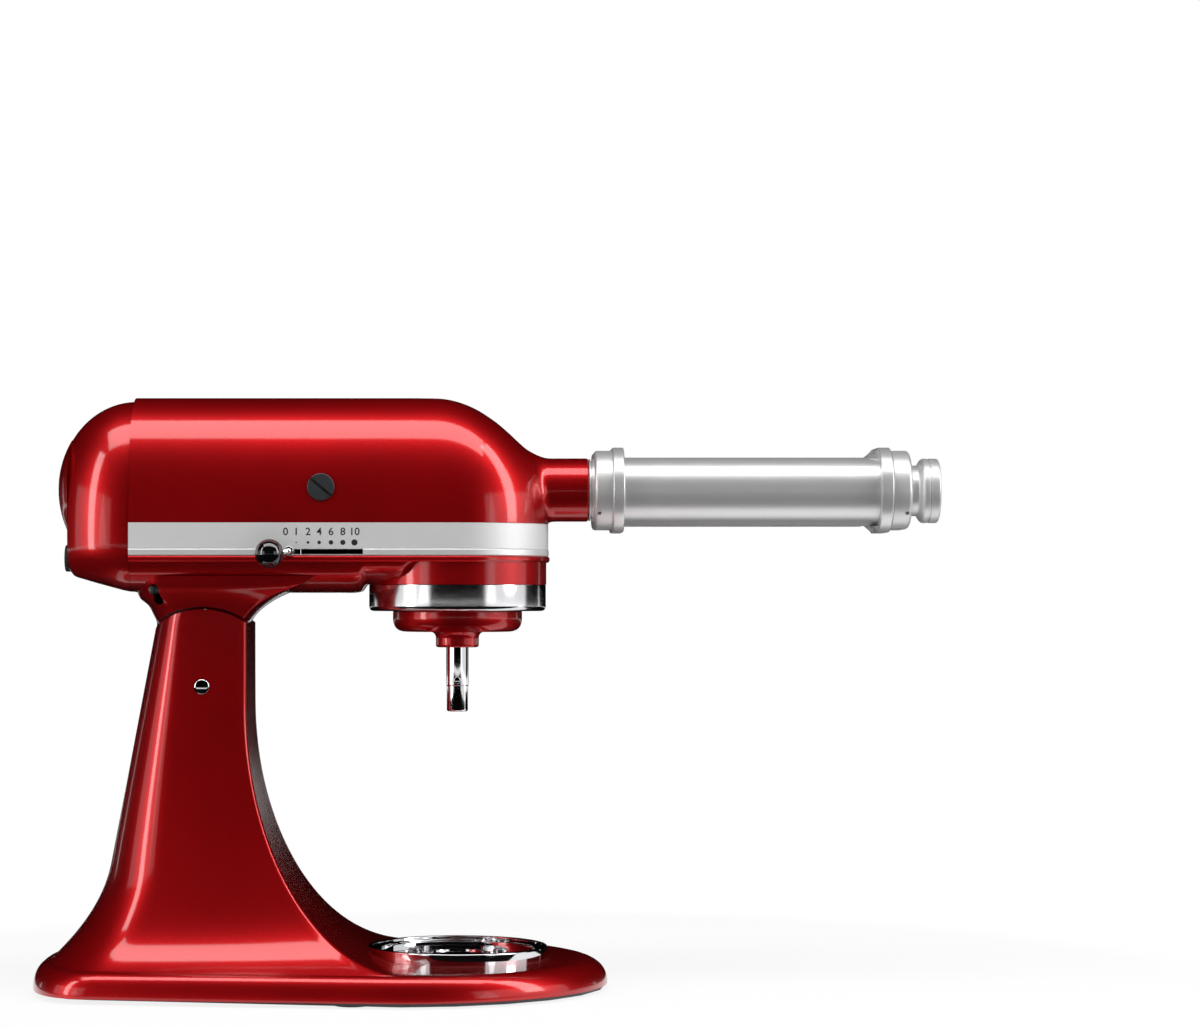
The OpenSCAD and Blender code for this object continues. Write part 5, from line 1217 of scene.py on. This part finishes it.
# %% Bowl clamp, hinge pin and feet
CLAMP_WALL, CLAMP_H, LIP_H, CLAMP_LIP_R = 2.2, 7, 1.8, CLAMP_R - 7.25
clamp = turned("clamp_ring", "Z", (0, 0, PLATEAU_Z - 1), [
    (CLAMP_R - CLAMP_WALL, 0), (CLAMP_R, 0), (CLAMP_R, CLAMP_H + 1.1, 1.1),
                                                          (CLAMP_R - CLAMP_WALL, CLAMP_H + 1.1,
                                                           1.1)], 192)
lips = turned("clamp_lips", "Z", (0, 0, PLATEAU_Z + CLAMP_H - 3.2), [
    (CLAMP_R - CLAMP_WALL + 0.3, 0), (CLAMP_R - CLAMP_WALL + 0.3, LIP_H), (CLAMP_LIP_R, LIP_H,
                                                                           0.8),
                                                                     (CLAMP_LIP_R, 0, 0.4)], 192)
for a in (60, 180, 300):
    wedge = [(90 * math.cos(math.radians(a + d)),
              90 * math.sin(math.radians(a + d))) for d in (-12, 12)]
    low, high = PLATEAU_Z, PLATEAU_Z + 20
    cut(lips, skin("notch", [[(0, 0, z), (*wedge[0], z), (*wedge[1], z)] for z in (low, high)]))
cut(clamp, lips, operation="UNION")
tidy_mesh(clamp, 30)
finish_piece(clamp, "root", "polished_chrome", "bowl_clamp_ring")

PIN_HALF = COLUMN_W / 2 + 2.6
hinge = turned("hinge_pin_turned", "Y", (-HINGE_BACK, -PIN_HALF, HINGE_Z),
               [(0, 0), (PIN_R, 0, 1.6), (PIN_R, 2 * PIN_HALF, 1.6), (0, 2 * PIN_HALF)], 96)
finish_piece(hinge, "root", "polished_chrome", "hinge_pin")

feet = []
for x, y in [(TOE - 32, 0.4 * 110), (26 - HEEL, 0.345 * 110), (-60, 0.8 * 110)]:
    for side in (-1, 1):
        feet.append(turned("foot", "Z", (x, side * y, 0), [
            (0, 0), (11, 0, 0.5), (11, RIM_Z - 2, 0.3), (5, RIM_Z - 2), (5, RIM_Z), (6.5, RIM_Z),
                                                           (6.5, RIM_Z + 1.5), (0, RIM_Z + 1.5)],
                           64))
finish_piece(joined(*feet), "root", "foot_rubber", "base_feet")

# %% [markdown]
# ## The roller unit
#
# Two rollers sit side by side, so every plate and cap of the unit is a slab with two
# round ends, one about each roller. They are drawn as stacks of such outlines. The
# faces were turned and brushed in circles, and their edges are broken by a radius.

# %% Slabs with two round ends
ROLLER_R, ROLLER_LEN = 13.2, 144
UNIT_SPAN = 2 * ROLLER_R + 0.3 + 1.2
IDLER_Y, KNOB_Y = 2 * ROLLER_R + 0.3 + 2.4, UNIT_SPAN / 2
JOURNAL_R, CAP_R, CAP_L, FLANGE_R, PLATE_T = 5, 23.6, 11, 25.5, 7
CASING_R, CASE_T, THROAT = 19.5, 1.5, 5
LEFT_CAP_X = HUB_FACE + 3.2
LEFT_PLATE_X = LEFT_CAP_X + CAP_L
ROLLER_X = LEFT_PLATE_X + PLATE_T + 0.7
FAIRING = 7.2
RIGHT_PLATE_X = ROLLER_X + ROLLER_LEN + FAIRING + 0.7
RIGHT_CAP_X = RIGHT_PLATE_X + PLATE_T + 0.4
KNOB_X, KNOB_L, KNOB_R = RIGHT_CAP_X + CAP_L + 0.4, 19.2, 19.5


def slab_outline(radius, x, count=48):
    """Outline with a half circle about each roller's axis, at one place along the machine."""
    ring = [(x, radius * math.cos(a), HUB_Z + radius * math.sin(a)) for a in steps(math.pi / 2,
                                                                                   3 * math.pi / 2,
                                                                                   count)]
    ring += [(x, UNIT_SPAN + radius * math.cos(a), HUB_Z + radius * math.sin(a))
             for a in steps(-math.pi / 2, math.pi / 2, count)]
    return ring


def slab(name, radius, low, high, low_round=0.0, high_round=0.0):
    """A slab between two places, whose two rims are rounded by their own radii."""
    stack = []
    for start, way, size in ((low, 1, low_round), (high, -1, high_round)):
        arc = [(start + way * size * (1 - math.sin(a)), radius - size * (1 - math.cos(a)))
               for a in (steps(math.pi / 2, 0, 8) if size else [0])]
        stack += arc if way > 0 else arc[::-1]
    return skin(name, [slab_outline(r, x) for x, r in stack])


def bore(radius, y, x, length):
    return rod("bore", "X", (x, y, HUB_Z), radius, length, 96)


def end_cap(name, x, outer):
    """A shallow cup whose closed face has the larger rounding."""
    rounds = (0.3, 2.4) if outer > 0 else (2.4, 0.3)
    cup = slab(name, CAP_R, x, x + CAP_L, *rounds)
    start = x - 1 if outer > 0 else x + 3.2
    cut(cup, slab("cup_room", CAP_R - 2.6, start, start + CAP_L - 3.2 + 1))
    a = math.radians(37)
    hole_x = x + 2.9 + (0 if outer < 0 else CAP_L - 5.8)
    hole = rod("screw_hole", "Y", (hole_x, 0, 0), 1.5, 10, 32)
    hole.matrix_world = (Matrix.Translation(at(hole_x, 0, HUB_Z)) @ Matrix.Rotation(a, 4, "X")
                         @ Matrix.Translation(-at(hole_x, CAP_R + 4, 0)))
    return cut(cup, settle(hole))


# %% Shank and end caps
shank = turned("shank_turned", "X", (46.5, 0, HUB_Z), [
    (7.2, 0), (HUB_BORE - 0.05, 0, 0.6), (HUB_BORE - 0.05, 32.2), (CAP_R - 5, 32.2, 0.25),
                                                       (CAP_R - 5, 33.1, 0.25),
    (CAP_R - 6.3, 33.2, 0.1), (CAP_R - 6.3, 33.8, 0.1), (CAP_R - 5, 33.9, 0.25),
                                                       (CAP_R - 5, LEFT_CAP_X - 46.5),
                                                       (7.2, LEFT_CAP_X - 46.5)])
finish_piece(shank, "roller_unit", "satin_aluminium", "unit_shank")

left_cap = end_cap("left_cap_turned", LEFT_CAP_X, -1)
cut(left_cap, bore(JOURNAL_R + 0.3, 0, LEFT_CAP_X - 1, 20))
tidy_mesh(left_cap, 30)
finish_piece(left_cap, "roller_unit", "satin_aluminium", "left_end_cap")

right_cap = end_cap("right_cap_turned", RIGHT_CAP_X, 1)
cut(right_cap, bore(4.05, KNOB_Y, RIGHT_CAP_X, 30))
for k in range(8):
    a = math.radians(90 + k * 180 / 7)
    cut(right_cap,
        rod("dimple", "X",
            (RIGHT_CAP_X + CAP_L - 1.2, KNOB_Y + 11 * math.cos(a), HUB_Z - 11 * math.sin(a)), 1.7,
            3, 32))
tidy_mesh(right_cap, 30)
finish_piece(right_cap, "roller_unit", "satin_aluminium", "right_end_cap")

# %% [markdown]
# The end plates are thicker slabs that the rollers' bushes sit in. The right one also
# carries a flared fairing, which the casings end against. Each casing is a rolled sheet
# that stops five millimetres past its roller's axis, and its lower edge is turned out
# into the bright lip that guides the dough.

# %% End plates
WINDOW, BUSH_R, TIE_R = 7, 7.5, 1.5
TIE_Y = (-ROLLER_R - TIE_R - 0.9, IDLER_Y + ROLLER_R + TIE_R + 0.4)


def plate_openings(x):
    length = PLATE_T + 2
    window = block("window", (x - 1, IDLER_Y - 2.4 - WINDOW - 0.3, HUB_Z - WINDOW - 0.1),
                   (x - 1 + length, IDLER_Y + WINDOW + 0.3, HUB_Z + WINDOW + 0.1))
    return [bore(BUSH_R, 0, x - 1, length),
            window] + [bore(TIE_R + 0.02, y, x - 1, length) for y in TIE_Y]


left_plate = slab("left_plate_turned", FLANGE_R, LEFT_PLATE_X, LEFT_PLATE_X + PLATE_T, 1.0, 1.0)
cut(left_plate, *plate_openings(LEFT_PLATE_X))
tidy_mesh(left_plate, 30)
finish_piece(left_plate, "roller_unit", "brushed_steel", "left_end_plate")

right_plate = slab("right_plate_turned", FLANGE_R, RIGHT_PLATE_X, RIGHT_PLATE_X + PLATE_T, 0.2, 1.0)
cone = [(RIGHT_PLATE_X - FAIRING + FAIRING * u,
         CASING_R + (FLANGE_R - 0.4 - CASING_R) * u**1.25) for u in steps(0, 1, 12)]
cone.append((RIGHT_PLATE_X + 0.3, FLANGE_R - 0.4))
fairing = skin("fairing", [slab_outline(r, x) for x, r in cone])
start = RIGHT_PLATE_X - FAIRING - 1
lip_r = CASING_R + 2.1
cut(fairing, bore(CASING_R + 0.1, 0, start, FAIRING + 1),
    block("front_room", (start, -FLANGE_R - 1, HUB_Z - 30), (RIGHT_PLATE_X, -4, HUB_Z + 30)),
    block("lip_room", (start, -4.5, HUB_Z - lip_r), (RIGHT_PLATE_X, THROAT, HUB_Z - lip_r + 10)))
cut(right_plate, fairing, operation="UNION")
throat_low = (RIGHT_PLATE_X - FAIRING - 1, THROAT, HUB_Z - 40)
throat_high = (RIGHT_PLATE_X, UNIT_SPAN - THROAT, HUB_Z + 40)
cut(right_plate, *plate_openings(RIGHT_PLATE_X), block("throat", throat_low, throat_high),
    slab("fairing_room", CASING_R - CASE_T, RIGHT_PLATE_X - FAIRING - 1, RIGHT_PLATE_X))
tidy_mesh(right_plate, 30)
finish_piece(right_plate, "roller_unit", "brushed_steel", "right_end_plate")

# %% Casings
CASE_X = LEFT_PLATE_X + PLATE_T
CASE_END = RIGHT_PLATE_X - FAIRING


def casing(name, y, side, end):
    """A sheet rolled round one roller; "side" is the way from the throat to its outside."""
    top = math.asin(THROAT / CASING_R)
    outer = [(CASING_R * math.sin(a), CASING_R * math.cos(a)) for a in steps(-top, math.pi - 0.28,
                                                                             96)]
    lip = [(-1.2, -CASING_R - 0.5), (-THROAT + 1.4, -CASING_R - 1.9), (-THROAT, -CASING_R - 2),
           (-THROAT, -CASING_R + 1.3)]
    inner_r = CASING_R - CASE_T
    inner_top = math.asin(THROAT / inner_r)
    inner = [(inner_r * math.sin(a), inner_r * math.cos(a)) for a in steps(math.pi + inner_top,
                                                                           -inner_top, 96)]
    outline = outer + lip + inner
    stack = [[(x, y + side * out, HUB_Z + up) for out, up in outline] for x in (CASE_X, end)]
    piece = skin(name, stack)
    apply_modifier(piece, "BEVEL", width=0.00025, segments=2, limit_method="ANGLE",
                   angle_limit=math.radians(40))
    return tidy_mesh(piece, 30)


finish_piece(casing("front_casing_rolled", 0, -1, RIGHT_PLATE_X), "roller_unit", "brushed_steel",
             "front_casing")
finish_piece(casing("rear_casing_rolled", UNIT_SPAN, 1, CASE_END), "roller_unit", "brushed_steel",
             "rear_casing")

# %% [markdown]
# The rollers are ground and polished steel, with the small bevel at each end that keeps
# the sheet's edge from catching. The adjustment knob is turned from the bar: a plain
# neck, a wider grip with a fine groove behind its rim, and a dished end.

# %% Rollers and knob
EDGE = 0.6


def roller(name, y, start, stop):
    first, last = ROLLER_X - start, ROLLER_X + ROLLER_LEN - start
    return turned(name, "X", (start, y, HUB_Z), [
        (0, 0), (JOURNAL_R, 0, 0.3), (JOURNAL_R, first), (ROLLER_R, first, EDGE),
                                                 (ROLLER_R, last, EDGE),
        (JOURNAL_R, last), (JOURNAL_R, stop - start, 0.3), (0, stop - start)])


driven = roller("driven_roller_ground", 0, 44.5, RIGHT_PLATE_X + PLATE_T)
square = block("square_drive", (32.5, -4.75, HUB_Z - 4.75), (45.5, 4.75, HUB_Z + 4.75))
apply_modifier(square, "BEVEL", width=0.0005, segments=2)
finish_piece(joined(driven, tidy_mesh(square)), "driven_roller_group", "polished_chrome",
             "driven_roller")
idler = roller("idler_roller_ground", IDLER_Y, LEFT_CAP_X + 3.7, RIGHT_CAP_X + 3.4)
finish_piece(idler, "idler_roller_group", "polished_chrome", "idler_roller")

k, neck = KNOB_R, 15.3
grip = turned("gap_knob_turned", "X", (KNOB_X, KNOB_Y, HUB_Z), [
    (4.05, 0), (neck, 0, 0.8), (neck, 6.4, 0.8), (k - 0.5, 8.6, 1.4), (k, 10, 0.5), (k, 12.4, 0.2),
                                                                (k - 0.7, 12.6, 0.2),
    (k - 0.7, 13.4, 0.2), (k, 13.6, 0.2), (k, KNOB_L, 1.6), (k - 5, KNOB_L, 0.6),
                                                                (k - 6.2, KNOB_L - 0.8, 0.6),
    (0, KNOB_L - 0.8), (0, KNOB_L - 3), (4.05, KNOB_L - 3)], 144, closed=False)
detent = turned("detent_pin", "X", (KNOB_X - 0.2, KNOB_Y, HUB_Z - 11),
                [(0, 0), (1.3, 0, 0.4), (1.3, 2.8), (0, 2.8)], 32)
finish_piece(joined(grip, detent), "gap_knob", "satin_aluminium", "adjust_knob")

# %% [markdown]
# The last visible pieces are small turned and milled ones whose solids already have
# the right shape. Each one only needs the fine chamfer that a machinist breaks every
# edge with, so the solid is copied, its doubles are merged and its sharp edges bevelled.

# %% Edges broken on the small metal pieces
BROKEN_EDGES = {
    "hub_thumb_screw": 0.4, "hub_sleeve": 0.3, "lock_bolt": 0.3, "bowl_clamp_plate": 0.3,
                "clamp_screws": 0.2,
    "cord_gland": 0.5, "rear_cover_screw": 0.2, "tie_rods": 0.2, "cap_screws": 0.15,
                "bottom_plate": 0.4,
}
body_of = {node: body for body,
           held in frame["record"]["behaviour"]["bodies"].items() for node in held}
for name, edge_mm in BROKEN_EDGES.items():
    piece = bpy.data.objects.new(name + "_finished", nodes[name].data.copy())
    bpy.context.scene.collection.objects.link(piece)
    tidy_mesh(piece)
    apply_modifier(piece, "BEVEL", width=edge_mm / 1000, segments=2, limit_method="ANGLE",
                   angle_limit=math.radians(50))
    tidy_mesh(piece, 32)
    finish_piece(piece, body_of[name], finish_of[name], name)
